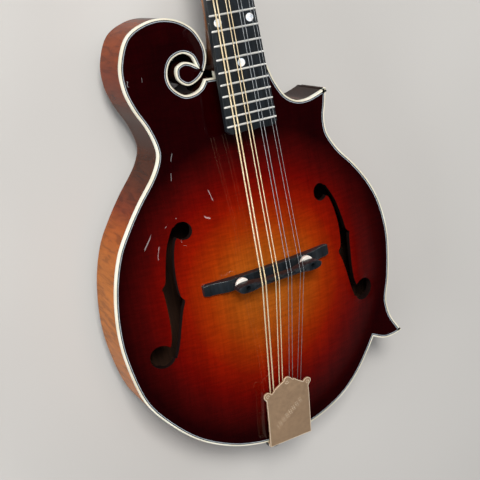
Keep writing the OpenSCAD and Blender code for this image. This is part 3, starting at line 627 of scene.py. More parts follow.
def piece(name, shape, materials, slot, body=ROOT, replaces=(), place=BODY, sharp=35,
          attributes=None):
    """A finished object from a shape in millimetres of a local frame."""
    to_row = TO_ROW @ place
    mesh = bpy.data.meshes.new(name)
    mesh.from_pydata([to_row @ Vector(p) for p in shape.points], [], shape.faces)
    mesh.validate()
    for material in materials:
        mesh.materials.append(material)
    if len(mesh.polygons) == len(shape.slots):
        mesh.polygons.foreach_set("material_index", shape.slots)
    for key, values in (attributes or {}).items():
        layer = mesh.attributes.new(key, "FLOAT", "POINT")
        layer.data.foreach_set("value", np.array(values, np.float32))
    mesh.shade_smooth()
    mesh.set_sharp_from_angle(angle=math.radians(sharp))
    mesh.update()
    made = bpy.data.objects.new(name, mesh)
    bpy.context.scene.collection.objects.link(made)
    if body:
        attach(made, body)
    if replaces:
        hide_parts(*replaces)
    return made


def finish_node(node, material):
    """A CAD node that keeps its own shape."""
    made = frame["nodes"][node]
    made.data.materials.clear()
    made.data.materials.append(material)


# ---- body outline ---------------------------------------------------------------------------

NECK_LINE = 148                     # where the neck's wood meets the body's edge
NECK_CORNER = (29, 148)
NECK_SHELF = (-12.6, 143.2)
SLOT_MOUTH = (-20, 143.6)           # the scroll's slot opens here and winds in to its tip
SLOT_TIP = (-25.3, 154.5)
UPPER_POINT = (78.1, 118.3)
LOWER_POINT = (125, -97.4)
TAIL_CORNER = (96.5, -94.5)

# Runs of the outline: round the bass side and the scroll to the slot's tip, out of the slot,
# the cutaway, the treble side with its waist, and the lower point.
BASS_RUN = [
    TAIL_CORNER, (88.5, -106.5), (76, -122), (60.5, -135), (40, -144.7), (20, -149.5),
    (0, -151), (-20, -149.7), (-45, -142), (-71, -126.5), (-93, -103.7), (-108, -80),
    (-116, -47), (-117.8, -20), (-114.5, 9), (-107, 34), (-96.3, 52.4), (-84.8, 68.2),
    (-72, 83.5), (-65.6, 95.5), (-65.4, 105), (-69.7, 118.5), (-77, 133), (-81.5, 148),
    (-80.9, 164.7), (-72.3, 182.2), (-55.2, 189.7), (-38, 188.5), (-24, 180), (-17, 167),
    (-17, 155.5), (-23, 145.5), (-33, 141.3), (-40.5, 146.5), (-40.6, 154.5), (-35, 158),
    (-29.5, 157), SLOT_TIP]
SLOT_RUN = [
    SLOT_TIP, (-28, 160.8), (-35, 163.9), (-43.5, 160.7), (-47.6, 152), (-45.8, 143),
    (-38, 136), (-30.5, 135.4), (-24, 138.2), SLOT_MOUTH]
CUTAWAY_RUN = [
    NECK_CORNER, (31.3, 142.5), (35.2, 131.8), (42, 120.3), (50.4, 114.4), (59.6, 113.1),
    (69.3, 115.2), UPPER_POINT]
WAIST_RUN = [
    UPPER_POINT, (76, 106.7), (73.7, 95.4), (75.1, 83.2), (83.4, 69.2), (95.4, 55.4),
    (106.5, 39.6), (114.8, 22.2), (119.6, 2), (120.7, -18), (117.6, -45.6), (113.6, -62),
    (113.2, -70), (116, -82), LOWER_POINT]
POINT_RUN = [LOWER_POINT, (117.4, -99.3), (107, -99.2), TAIL_CORNER]

OUTLINE = (open_curve(BASS_RUN) + open_curve(SLOT_RUN) + [np.array(SLOT_MOUTH)]
           + [np.array(NECK_SHELF), np.array((NECK_SHELF[0], NECK_LINE))]
           + open_curve(CUTAWAY_RUN) + open_curve(WAIST_RUN) + open_curve(POINT_RUN))
OUTLINE = OUTLINE[::-1] if area(OUTLINE) < 0 else OUTLINE

ARCH_CENTRE = np.array((0, -10))
ARCH_EDGE = closed_curve([
    (0, -142), (-40, -134), (-77, -109), (-101, -73), (-108, -28), (-101, 18), (-80, 55),
    (-61, 82), (-56, 106), (-45, 124), (-20, 129), (0, 129), (20, 126), (36, 111), (56, 101),
    (66, 86), (80, 60), (100, 34), (111, -5), (109, -45), (97, -80), (74, -111), (40, -134)])
TOP_ARCH = 15
BACK_ARCH = 14
RIM_DEPTH = 40
PLATE_EDGE = 5                      # thickness of a plate at its rim
BINDING_H = 3.2
BINDING_W = 1.3
PURFLING = ((1.3, 1.95, 0), (1.95, 2.35, 1), (2.35, 2.85, 0))    # start, end, dark or light
WOOD_INSET = 2.8                    # edge of the top's wood, just under the purfling
PLATE_T = 4.2
SCROLL_EDGE, SCROLL_WIDTH = 2.5, 14.5    # flat edge beside the scroll's ridge, and its rise
FLAT_RIM = 3                        # below this height over the rim, a plate is flat inside
RIB_T = 2.3


def from_arch_centre(points):
    """Direction and distance of each point from the arch's centre."""
    x, y = (np.asarray(points) - ARCH_CENTRE).T
    return np.arctan2(y, x), np.hypot(x, y)


def arch(points, rise):
    """Height of an arched plate over its rim."""
    (edge_turn, edge_reach), (turn, reach) = map(from_arch_centre, (ARCH_EDGE, points))
    limit = np.interp(turn, edge_turn, edge_reach, period=2 * math.pi)
    return rise * (1 - np.minimum(reach / limit, 1) ** 2.2) ** 1.25


def smooth_step(x, low, high):
    t = np.clip((x - low) / (high - low), 0, 1)
    return t * t * (3 - 2 * t)


def scroll_ridge(points, distance, rise):
    """Ridge that winds from the body into the scroll, highest half way between its edges."""
    x, y = points[:, 0], points[:, 1]
    share = smooth_step(y, 108, 140) * smooth_step(-x, 14, 24)
    ramp = np.clip((distance - SCROLL_EDGE) / SCROLL_WIDTH, 0, 1)
    lift = 0.75 * smooth_step(ramp, 0, 1) + 0.25 * ramp
    return rise * share * lift


def relax(heights, faces, fixed, rounds):
    """Even out heights over neighbouring points."""
    edges = sorted({tuple(sorted((f[i], f[(i + 1) % 3]))) for f in faces for i in range(3)})
    a = np.array([e[0] for e in edges])
    b = np.array([e[1] for e in edges])
    count = np.bincount(np.concatenate([a, b]), minlength=len(heights))
    for _ in range(rounds):
        total = (np.bincount(a, heights[b], len(heights))
                 + np.bincount(b, heights[a], len(heights)))
        heights = np.where(fixed, heights, total / np.maximum(count, 1))
    return heights


BURST_MIDDLE_Y = -15
BURST_SIDE, BURST_UP, BURST_DOWN = 115, 119, 128     # reach from the middle to full darkness


def burst_tone(points):
    """0 in the amber middle, 1 at the dark edge: an oval that is longer towards the tail."""
    x, y = points[:, 0], points[:, 1] - BURST_MIDDLE_Y
    oval = np.hypot(x / BURST_SIDE, y / np.where(y > 0, BURST_UP, BURST_DOWN))
    return np.clip(oval ** 1.25, 0, 1)


# F-hole of the treble side: two edges of its stem between the two eyes
EYE_HIGH, EYE_HIGH_R = (58.2, 42), 6.6
EYE_LOW, EYE_LOW_R = (89.3, -48.2), 9.2
STEM_OUTER = [(65, 45.5), (68.4, 39.5), (72.5, 30), (76, 16), (78, 7), (81, 3.5),
              (80.4, 0), (79.9, -10), (79.7, -24), (80.6, -36), (83, -43)]
STEM_INNER = [(79.3, -51.5), (76, -42), (72.8, -29), (69.4, -16), (66.7, -8.7),
              (69, -5), (70, 3), (69.8, 15), (67.8, 28), (64.6, 38)]


def f_hole_loop():
    """One loop: round the upper eye, down the outer edge, round the lower eye and back."""
    return (arc(EYE_HIGH, EYE_HIGH_R, -38, -322, 28)
            + [tuple(p) for p in open_curve(STEM_OUTER, 4)]
            + arc(EYE_LOW, EYE_LOW_R, 140, -162, 32)
            + [tuple(p) for p in open_curve(STEM_INNER, 4)])


def rib_tone(points):
    """Ribs: amber on the bouts, dark in the waist, in the scroll's hollow and at the neck."""
    x, y = points[:, 0], points[:, 1]
    waist = 0.62 * np.exp(-((y - 92) / 42) ** 2) * (x < -30) + 0.3 * smooth_step(y, 90, 130)
    neck = smooth_step(y, 100, 128) * smooth_step(x, -55, -40)
    slot = smooth_step(y, 128, 138) * (1 - smooth_step(np.hypot(x + 34, y - 150), 14, 22))
    treble = 0.35 * (x > 60)
    return np.clip(0.1 + waist + neck + slot + treble, 0, 1)


def plate(name, faces, heights, materials, slot, node, tones, flip=False, **looks):
    """A closed plate: two surfaces over one plan, and the wall between their edges."""
    n = len(heights[0])
    points = np.concatenate(heights)
    lower = [tuple(n + i for i in reversed(f)) for f in faces]
    walls = [(b, a, n + a, n + b) for a, b in sorted(border_edges(faces))]
    every = faces + lower + walls
    shape = Shape().add((points, [f[::-1] for f in every] if flip else every))
    shape.slots = [0] * len(faces) + [1] * len(faces) + [2] * len(walls)
    piece(name, shape, materials, slot, replaces=[node],
          attributes={key: np.concatenate([tone, tone]) for key, tone in tones.items()}, **looks)


def carved_top():
    """The arched top with its f-holes, scroll ridge and burst."""
    wood_edge = resample(inset(OUTLINE, WOOD_INSET, miter=1.6), step=1.3)
    hole = np.array(f_hole_loop())
    plan, faces = triangulated(wood_edge, [hole, hole * (-1, 1)], spacing=2.3, margin=1.2)
    distance = edge_distance(OUTLINE, plan)
    rim = distance < WOOD_INSET + 0.3
    upper = arch(plan, TOP_ARCH)
    upper = relax(upper, faces, rim, rounds=4) + scroll_ridge(plan, distance, rise=3.2)
    upper = relax(upper, faces, rim, rounds=2)
    lower = np.minimum(upper, arch(plan, TOP_ARCH)) - PLATE_T
    lower = np.where(upper < FLAT_RIM, -PLATE_EDGE, lower)
    plate("carved_top", faces, [np.column_stack([plan, z]) for z in (upper, lower)],
          [TOP_WOOD, BAR_WOOD, CUT_WOOD], "spruce_top", "top_plate",
          {"burst": burst_tone(plan)}, sharp=50)


def carved_back():
    """The arched back, whose own edge shows as a strip below the ribs."""
    wood_edge = resample(inset(OUTLINE, 0.05), step=1.6)
    plan, faces = triangulated(wood_edge, [], spacing=2.8, margin=1.4)
    distance = edge_distance(OUTLINE, plan)
    rim = distance < 0.4
    rise = relax(arch(plan, BACK_ARCH), faces, rim, rounds=4)
    rise = relax(rise + scroll_ridge(plan, distance, rise=2.4), faces, rim, rounds=2)
    rise = np.where(rim, -0.5, rise)
    hollow = np.where(rise < FLAT_RIM, -PLATE_EDGE, rise - PLATE_T)
    # the back's inside takes the inside wood with its painted shade
    plate("carved_back", faces, [np.column_stack([plan, -RIM_DEPTH - z]) for z in (rise, hollow)],
          [BACK_WOOD, INNER_WOOD_PAINTED_SHADE, EDGE_WOOD], "maple_back", "back_plate",
          {"burst": burst_tone(plan), "side": rib_tone(plan)}, flip=True)


def body_edge():
    """Ivory binding round the top and the three purfling lines inside it."""
    foot = -BINDING_H + 0.02
    strip = band(OUTLINE, [(0.03, foot), (0.03, -0.4), (0.12, -0.12), (0.35, 0.0),
                           (BINDING_W, 0.0), (BINDING_W, foot)])
    piece("binding_strip", Shape().add(strip), [BINDING], "binding", replaces=["top_binding"])
    lines = Shape()
    for start, end, material in PURFLING:
        lines.add(band(OUTLINE, [(start, -1.5), (start, 0.0), (end, 0.0), (end, -1.5)]), material)
    piece("purfling_lines", lines, [PURF_DARK, PURF_LIGHT], "binding")


def ribs():
    """Two bent ribs with an open stretch where the neck's tenon goes in."""
    heights = [-BINDING_H, -12, -20, -28, PLATE_EDGE - RIM_DEPTH]
    rings = [[(x, y, z) for x, y in inset(OUTLINE, 0.08)] for z in heights]
    rings += [[(x, y, z) for x, y in inset(OUTLINE, RIB_T)] for z in (heights[-1], heights[0])]
    points, faces = skin(rings, closed_path=True)
    keep = [f for f in faces if not all(abs(points[i][0]) < 13 and points[i][1] > 140
                                        for i in f)]
    tone = rib_tone(np.array(points)[:, :2])
    for name, side in (("bass", -1), ("treble", 1)):
        own = [f[::-1] for f in keep if sum(points[i][0] for i in f) * side > 0]
        made = piece(f"bent_rib_{name}", Shape().add((points, own)), [RIB_WOOD], "maple_ribs",
                     replaces=[f"rib_{name}"], attributes={"burst": tone}, sharp=30)
        remove_loose(made)


def remove_loose(made):
    """Drops points that no face uses."""
    mesh = bmesh.new()
    mesh.from_mesh(made.data)
    bmesh.ops.delete(mesh, geom=[v for v in mesh.verts if not v.link_faces], context="VERTS")
    mesh.to_mesh(made.data)
    mesh.free()


carved_top()
carved_back()
body_edge()
ribs()

# ---- neck -----------------------------------------------------------------------------------

SCALE_LENGTH = 353.7
NUT_HALF = 14.3                     # half the fingerboard's width at the nut
BOARD_HALF = 19.9                   # and at its free end
FRETS = 20
BOARD_LENGTH = SCALE_LENGTH * (1 - 2 ** (-FRETS / 12)) + 5.5
HEEL_HALF = 12.6
HEEL_START = -168                   # along the neck from the nut
NECK_DEPTH = 15                     # of the neck's wood at the nut
TENON_HALF = 11
nut_point = BOARD.translation
neck_slope = rod_axis
HEEL_END = (NECK_LINE - nut_point.y) / neck_slope.y


def board_half(y):
    return NUT_HALF - (BOARD_HALF - NUT_HALF) * y / BOARD_LENGTH


def fret_y(n):
    return -SCALE_LENGTH * (1 - 2 ** (-n / 12))


def neck_section(y, sides=24):
    """Section of the neck's wood: round along the neck, deep and narrow at the heel."""
    heel = 0 if y > HEEL_START else (HEEL_START - y) / (HEEL_START - HEEL_END)
    half = board_half(min(y, 0))
    heel_depth = nut_point.z + y * neck_slope.z + RIM_DEPTH - 3 - BOARD_T
    depth = NECK_DEPTH - y * 0.012
    depth += (heel_depth - depth) * heel ** 2.6
    low_half = half - (half - HEEL_HALF) * heel
    power = 2 + 8 * heel
    ring = []
    for i in range(sides + 1):
        t = math.sin(math.pi * i / sides)
        side = (i < sides / 2) - (i > sides / 2)
        taper = half - (half - low_half) * min(1, t / 0.3)
        ring.append((side * taper * max(0, 1 - t ** power) ** 0.5, y, -BOARD_T - depth * t))
    return ring


HEAD_BACK = -14
VENEER = 1.5
HEAD_SIDE = [(14.4, 0), (16, 6), (22, 14), (31, 23), (34.5, 34), (34.5, 60), (35.5, 90),
             (36.5, 112), (37, 124)]
BASS_HORN = [(-37, 124), (-38, 136), (-31, 145), (-21, 144), (-16, 137), (-9, 128), (0, 124)]
TREBLE_HORN = [(0, 124), (9, 127), (17, 136), (27, 143), (38, 146), (39, 136), (37, 124)]
HEAD_LOOP = (open_curve(BASS_HORN, 5) + open_curve(TREBLE_HORN, 5)
             + open_curve(HEAD_SIDE[::-1], 4) + [np.array((14.4, 0)), np.array((-14.4, 0))]
             + open_curve([(-x, y) for x, y in HEAD_SIDE], 4))


def volute():
    """Rings from the neck's end to the headstock's back."""
    rings = []
    for s in (k / 8 for k in range(9)):
        ring = []
        for i in range(25):
            t = math.sin(math.pi * i / 24)
            side = (i < 12) - (i > 12)
            neck_x = side * NUT_HALF * math.sqrt(max(0, 1 - t * t))
            head_x = side * 16.2 * max(0, 1 - t ** 9) ** 0.5
            start = BOARD @ Vector((neck_x, 2, -BOARD_T - (NECK_DEPTH - 0.1) * t))
            end = HEAD @ Vector((head_x, 11, -VENEER - 0.2 - (-HEAD_BACK - VENEER - 0.4) * t))
            bulge = BOARD.to_3x3() @ Vector((0, 0, -1.6 * t * math.sin(math.pi * s)))
            ring.append(start.lerp(end, s) + bulge)
        rings.append(ring)
    return rings


def neck():
    """Neck, heel and headstock in one wood, with the ebony cap under the heel."""
    stations = [4.9, 2, 0] + [float(y) for y in range(-12, HEEL_START, -12)]
    stations += [HEEL_START + (HEEL_END - 0.3 - HEEL_START) * k / 16 for k in range(17)]
    rings = [[BOARD @ Vector(p) for p in neck_section(y)] for y in stations]
    for ring in rings[-12:]:
        for p in ring:
            p.y = max(p.y, NECK_LINE + 0.02)
    shape = Shape().add(skin([ring[::-1] for ring in rings])).add(skin(volute()))
    shape.add(prism(inset(HEAD_LOOP, 0.04), HEAD_BACK, -VENEER, 0.05, 1.2), 0, HEAD)
    # the riser under the fingerboard's free end, and the tenon's foot
    low, high = [], []
    for x, y in ((-TENON_HALF, NECK_LINE - 36), (TENON_HALF, NECK_LINE - 36),
                 (TENON_HALF, NECK_LINE + 0.5), (-TENON_HALF, NECK_LINE + 0.5)):
        under = BOARD @ Vector((0, (y - nut_point.y) / neck_slope.y, -BOARD_T))
        low.append((x, y, 2.0 if y < NECK_LINE else -30))
        high.append((x, y, under.z - 0.02))
    shape.add(skin([low, high]))
    shape.add(box_part((-TENON_HALF, NECK_LINE - 16, 5 - RIM_DEPTH),
                       (TENON_HALF, NECK_LINE + 0.4, 8), 0.1))
    y = np.array([p.y for p in shape.points])
    tone = 0.15 + 0.85 * (1 - smooth_step(y, 150, 215)) + 0.5 * smooth_step(y, 345, 375)
    piece("neck_wood", shape, [NECK_WOOD], "maple_neck", replaces=["neck"],
          attributes={"burst": np.clip(tone, 0, 1)}, sharp=40)

    cap = [(HEEL_HALF, NECK_LINE + 0.02), *arc((0, NECK_LINE - 1), HEEL_HALF, 5, 175, 17),
           (-HEEL_HALF, NECK_LINE + 0.02)]
    piece("heel_cap_plate", Shape().add(prism(cap, -RIM_DEPTH, -RIM_DEPTH + 2.95, 0.05, 0.6)),
          [EBONY], "ebony", replaces=["heel_cap"])


FRET_HALF = 0.75
FRET_H = 0.83
# (distance in from the board's edge, share of the wire's size) at one end of a fret
FRET_END = [(-0.05, 0.45), (0.25, 0.8), (0.75, 1.0)]
FACE_DOTS = (3, 5, 7, 10, 15)
OCTAVE_DOT_X = 12.4


def dot_y(n):
    return (fret_y(n) + fret_y(n - 1)) / 2


def fingerboard():
    """Ebony board with a scalloped free end, its frets and its pearl markers."""
    corner = 2.6
    end = [(BOARD_HALF - corner, 0.0), (12.5, -0.35), (6, 0.35), (0, -0.3), (-6, 0.35),
           (-12.5, -0.35), (corner - BOARD_HALF, 0.0)]
    loop = [(-NUT_HALF, 0), (-BOARD_HALF, corner - BOARD_LENGTH)]
    loop += [(x, y - BOARD_LENGTH) for x, y in open_curve(end[::-1], 4)]
    loop += [(BOARD_HALF - corner, -BOARD_LENGTH), (BOARD_HALF, corner - BOARD_LENGTH),
             (NUT_HALF, 0)]
    shape = Shape().add(prism(loop, -BOARD_T, 0, 0.35, 0.05), 0, BOARD)
    piece("ebony_board", shape, [EBONY], "ebony", replaces=["fingerboard"])

    wires = Shape()
    for n in range(1, FRETS + 1):
        y, half = fret_y(n), board_half(fret_y(n))
        ends = [(d - half, size) for d, size in FRET_END]
        ends += [(half - d, size) for d, size in reversed(FRET_END)]
        wires.add(skin([[(x, y + FRET_HALF * c, FRET_H * s - 0.05)
                         for c, s in arc((0, 0), size, 0, 180, 8)] for x, size in ends]), 0, BOARD)
        for low in (-half - 0.02, half + 0.02 - 1):
            wires.add(box_part((low, y - 0.3, -2.2), (low + 1, y + 0.3, 0), 0.02), 0, BOARD)
    piece("fret_wires", wires, [FRET], "fret_wire", replaces=["frets"])

    dots = Shape()
    places = [(0, dot_y(n)) for n in FACE_DOTS]
    for x, y in places + [(side * OCTAVE_DOT_X, dot_y(12)) for side in (-1, 1)]:
        dots.add(lathe([(2.9, -1.4), (2.9, 0.0), (2.8, 0.03), (0.02, 0.04)], 36), 0,
                 BOARD @ shift(x, y))
    for n in sorted(FACE_DOTS + (12,)):
        y = dot_y(n)
        dots.add(lathe([(0.9, 0), (0.9, 0.8)], 20), 0,
                 BOARD @ shift(-board_half(y) - 0.03, y, -2.1) @ turned(90, "Y"))
    piece("pearl_markers", dots, [PEARL], "pearl", replaces=["fret_markers"])


STRING_R = [0.51, 0.33, 0.19, 0.14]
NUT_X = [-10.6, -3.05, 4.45, 11.5]
SADDLE_X = [-15.55, -4.4, 6.5, 16.85]
TAIL_X = [-10.9, -3.3, 5.2, 11.9]
NUT_PAIR, SADDLE_PAIR, TAIL_PAIR = 1.05, 1.45, 1.5
NUT_T = 4.8
NUT_RISE = 1.3


def nut():
    """Bone nut with a rounded top and a notch for each string."""
    loop = [(-NUT_HALF, -BOARD_T), (-NUT_HALF, 0.9), (-NUT_HALF + 0.4, NUT_RISE + 0.25)]
    for course in range(4):
        for s in (-1, 1):
            x, r = NUT_X[course] + s * NUT_PAIR, STRING_R[course] + 0.03
            loop.append((x - r - 0.05, NUT_RISE + 0.3))
            loop += arc((x, NUT_RISE + r), r, 180, 360, 6)
            loop.append((x + r + 0.05, NUT_RISE + 0.3))
    loop += [(NUT_HALF - 0.4, NUT_RISE + 0.25), (NUT_HALF, 0.9), (NUT_HALF, -BOARD_T)]
    shape = Shape().add(skin([[(x, y, z) for x, z in loop] for y in (0.0, NUT_T)]), 0, BOARD)
    piece("bone_nut", shape, [BONE], "bone", replaces=["nut"])


def headstock():
    """Black face veneer with a bound edge, and the truss rod's cover with two screws."""
    face = Shape().add(prism(inset(HEAD_LOOP, 0.05), -VENEER + 0.01, -0.02, 0.05), 0, HEAD)
    edge = band(HEAD_LOOP, [(0.03, -VENEER), (0.03, -0.1), (0.18, -0.005), (1.4, -0.005),
                            (1.4, -VENEER)])
    face.add(edge, 1, HEAD)
    piece("headstock_veneer", face, [LACQUER, BINDING], "black_veneer",
          replaces=["headstock_face"])

    side = [(9.5, 0.4), (8.5, 9), (4.6, 18), (3.4, 25), (0, 31)]
    other = [(-x, y) for x, y in reversed(side)]
    loop = open_curve(side, 6) + open_curve(other, 6) + [np.array(other[-1])]
    piece("truss_rod_cover", Shape().add(prism(loop, 0.02, 1.6, 0.4, 0.05), 0, HEAD), [PLASTIC],
          "black_plate", replaces=["truss_cover"])
    screws = Shape()
    for x, y in ((-7, 3), (0, 27)):
        screws.add(screw_head(1.9, 0.9), 0, HEAD @ shift(x, y, 1.55))
    piece("truss_cover_screw_heads", screws, [BRASS], "bronze", replaces=["truss_cover_screws"])


neck()
fingerboard()
nut()
headstock()

# ---- tuners ---------------------------------------------------------------------------------

PLATE_SHEET = 1.2
GEAR_TOP = HEAD_BACK - PLATE_SHEET - 1
GEAR_T = 3.4
WORM_W = GEAR_TOP - GEAR_T / 2
GEAR_R, WORM_R, SHAFT_R, POST_R = 6.0, 2.4, 1.6, 3.0
WORM_OFFSET = GEAR_R + WORM_R + 0.25
EAR_X = (15.6, 28.4)
EAR_T = 1.3
BUTTON_X = 42
GEAR_TEETH = 16
POST_NECK = 2.55                    # radius of the post's waist, which the string winds round
WINDING_TOP = 8.4
# tuner of each string: course and place in the pair (0 lower, 1 upper)
STRING_TUNERS = {(0, 0): 0, (0, 1): 1, (1, 0): 2, (1, 1): 3,
                 (2, 0): 7, (2, 1): 6, (3, 0): 5, (3, 1): 4}
TUNER_OF = {tuner: key for key, tuner in STRING_TUNERS.items()}


def tuner_side(i):
    return 1 if i > 3 else -1


def tuner_u(i):
    return TUNER_START + TUNER_PITCH * (i % 4)


def bushings():
    section = [(POST_R + 0.05, -7), (4.3, -7), (4.3, 0), (5.3, 0.02), (5.3, 0.7), (4.9, 1.25),
               (4.2, 1.4), (POST_R + 0.25, 1.4), (POST_R + 0.05, 1.2)]
    shape = Shape()
    for i in range(8):
        shape.add(lathe(section, 40, closed_path=True), 0,
                  HEAD @ shift(tuner_side(i) * TUNER_X, tuner_u(i)))
    piece("bushing_rings", shape, [NICKEL], "nickel", replaces=["tuner_bushings"])


def tuner_plates():
    underside = HEAD_BACK - PLATE_SHEET
    low, length, half, nose = TUNER_START - 13, 3 * TUNER_PITCH + 33, 9.5, 4
    # an ear is a plate with a round end about the shaft
    ear_root = HEAD_BACK - PLATE_SHEET / 2 - WORM_W
    ear = prism(arc((0, 0), 3, 180, 360, 14) + [(3, ear_root), (-3, ear_root)], 0, EAR_T, 0.2)
    across = Matrix(((0, 0, 1, 0), (1, 0, 0, 0), (0, 1, 0, 0), (0, 0, 0, 1)))
    screws = Shape()
    for name, side in (("bass", -1), ("treble", 1)):
        x = side * (TUNER_X + 0.5)
        quarter = [(half - nose, 0), (half, nose), (half, length - nose), (half - nose, length)]
        loop = [(x + dx, low + y) for dx, y in quarter]
        loop += [(x - dx, low + y) for dx, y in reversed(quarter)]
        shape = Shape().add(prism(loop, underside, HEAD_BACK - 0.01, 0.05, 0.3), 0, HEAD)
        for k in range(4):
            u = TUNER_START + TUNER_PITCH * k + WORM_OFFSET
            for place in EAR_X:
                shape.add(ear, 0, HEAD @ shift(side * place - EAR_T / 2, u, WORM_W) @ across)
            # a light rib either side of the gear
            for edge in (x - 7.6, x + 7.6):
                shape.add(box_part((edge - 0.5, u - 17, underside - 0.35),
                                   (edge + 0.5, u - 9, underside + 0.1), 0.15), 0, HEAD)
        piece(f"tuner_strip_{name}", shape, [NICKEL], "nickel",
              replaces=[f"tuner_plate_{name}"])
        for k in range(5):
            place = HEAD @ shift(side * (TUNER_X - 6.5), TUNER_START - 8.7 + TUNER_PITCH * k,
                                 underside + 0.02)
            screws.add(screw_head(1.7, 0.9), 0, place @ turned(180, "X"))
    piece("plate_screw_heads", screws, [STEEL], "nickel", replaces=["tuner_plate_screws"])


def superellipse(a, b, power, count):
    return [(a * math.copysign(abs(c) ** (2 / power), c),
             b * math.copysign(abs(s) ** (2 / power), s)) for c, s in circle(1, count)]


def tuner_key(i):
    place = HEAD @ shift(0, tuner_u(i) + WORM_OFFSET, WORM_W) @ turned(90 * tuner_side(i), "Y")
    inner, outer = EAR_X[0] + EAR_T / 2 + 0.3, EAR_X[1] - EAR_T / 2 - 0.3
    collar = EAR_X[1] + EAR_T / 2 + 0.3
    shape = Shape()
    shape.add(lathe([(SHAFT_R - 0.3, 14.2), (SHAFT_R, 14.5), (SHAFT_R, BUTTON_X + 3)], 28))
    shape.add(threaded(WORM_R, 0.75, 2.2, outer - inner), 0, shift(0, 0, inner))
    shape.add(lathe([(1.7, collar), (WORM_R, collar + 0.2), (WORM_R, collar + 1.7),
                     (1.7, collar + 2)], 28))
    shape.add(lathe([(1.6, BUTTON_X - 2.4), (2.3, BUTTON_X - 1.9), (2.5, BUTTON_X - 0.4),
                     (2.1, BUTTON_X + 0.6)], 28))
    # pearl button: a flattened oval that swells towards its middle
    rings = []
    for k in range(-6, 7):
        t = k / 6 * math.pi / 2
        size = math.cos(t) ** 0.45 if abs(k) < 6 else 0.04
        rings.append([(3.0 * math.sin(t), y * size, BUTTON_X + 7 + z * size)
                      for z, y in superellipse(7.0, 6.2, 2.4, 40)])
    shape.add(skin(rings), 1)
    piece(f"key_{i + 1}_worm_and_button", shape, [NICKEL, BUTTON], "nickel",
          body=f"tuner_key_{i + 1}", replaces=[f"tuner_key_{i + 1}"], place=place)


def tuner_post(i):
    shape = Shape()
    shape.add(lathe([(POST_R, GEAR_TOP), (POST_R, 4.6), (2.75, 5.2), (2.5, 6.6), (2.5, 8.6),
                     (2.75, 10.2), (POST_R, 10.9), (POST_R, 14.3), (2.6, 14.9), (2.0, 15)], 36))
    gear = []
    for k in range(GEAR_TEETH):
        for r, share in ((5.1, 0), (5.15, 0.16), (GEAR_R, 0.34), (GEAR_R, 0.56), (5.15, 0.76)):
            a = 2 * math.pi * (k + share) / GEAR_TEETH
            gear.append((r * math.cos(a), r * math.sin(a)))
    shape.add(prism(gear, GEAR_TOP - GEAR_T, GEAR_TOP, 0.15), 1)
    shape.add(screw_head(2.4, 0.95), 0,
              shift(0, 0, GEAR_TOP - GEAR_T + 0.02) @ turned(180, "X"))
    # the string comes on at the inner side and winds down the post
    course, _ = TUNER_OF[i]
    wire = STRING_R[course]
    turns = 3.5 if wire < 0.3 else 2.5
    hand = tuner_side(i)
    start = 0 if hand < 0 else 180
    wound = arc((0, 0), POST_NECK + wire, start, start + hand * 360 * turns, int(turns * 24))
    drop = 2.1 * wire * turns / (len(wound) - 1)
    path = [(x, y, WINDING_TOP - drop * k) for k, (x, y) in enumerate(wound)]
    shape.add(tube(path, wire, 8), 2 if course < 2 else 3)
    piece(f"post_{i + 1}_gear_and_winding", shape, [NICKEL, BRASS, WOUND, PLAIN], "nickel",
          body=f"tuner_post_{i + 1}", replaces=[f"tuner_post_{i + 1}"],
          place=HEAD @ shift(hand * TUNER_X, tuner_u(i)))


bushings()
tuner_plates()
for number in range(8):
    tuner_key(number)
    tuner_post(number)

# ---- bridge ---------------------------------------------------------------------------------

BASE_HALF_LENGTH = 53.7
BASE_W = 9.1
BASE_TOP = 20.0
SADDLE_TOP = 37.2
WING_TOP = 35.0
SADDLE_HALF = 35.3
WHEEL_LOW, WHEEL_T, WHEEL_R = 23.6, 2.8, 5.4
SCREW_R = 1.6
THREAD_PITCH = 0.8


def top_under(x):
    """Height of the carved top below the bridge."""
    return float(arch(np.array([[x, -BRIDGE_SETBACK]]), TOP_ARCH)[0])


def bridge_base():
    count = 36
    tip = top_under(BASE_HALF_LENGTH) + 4.0
    rings = []
    for k in range(count + 1):
        x = BASE_HALF_LENGTH * (2 * k / count - 1)
        left = BASE_HALF_LENGTH - abs(x)
        low = top_under(x) + 0.12
        share = float(smooth_step(abs(x), 33.5, 47.5))
        end = min(1, left / 1.2)
        high = BASE_TOP + (tip + left * 0.09 - BASE_TOP) * share - 0.7 * (1 - end)
        half = BASE_W / 2 * (1 - 0.16 * (1 - math.sqrt(1 - (1 - end) ** 2)))
        r = 0.8
        section = [(-half, low), (half, low), *arc((half - r, high - r), r, 0, 90, 4),
                   *arc((r - half, high - r), r, 90, 180, 4)]
        rings.append([(x, y, z) for y, z in section])
    piece("ebony_bridge_base", Shape().add(skin(rings)), [EBONY], "ebony",
          replaces=["bridge_base"], place=BRIDGE)


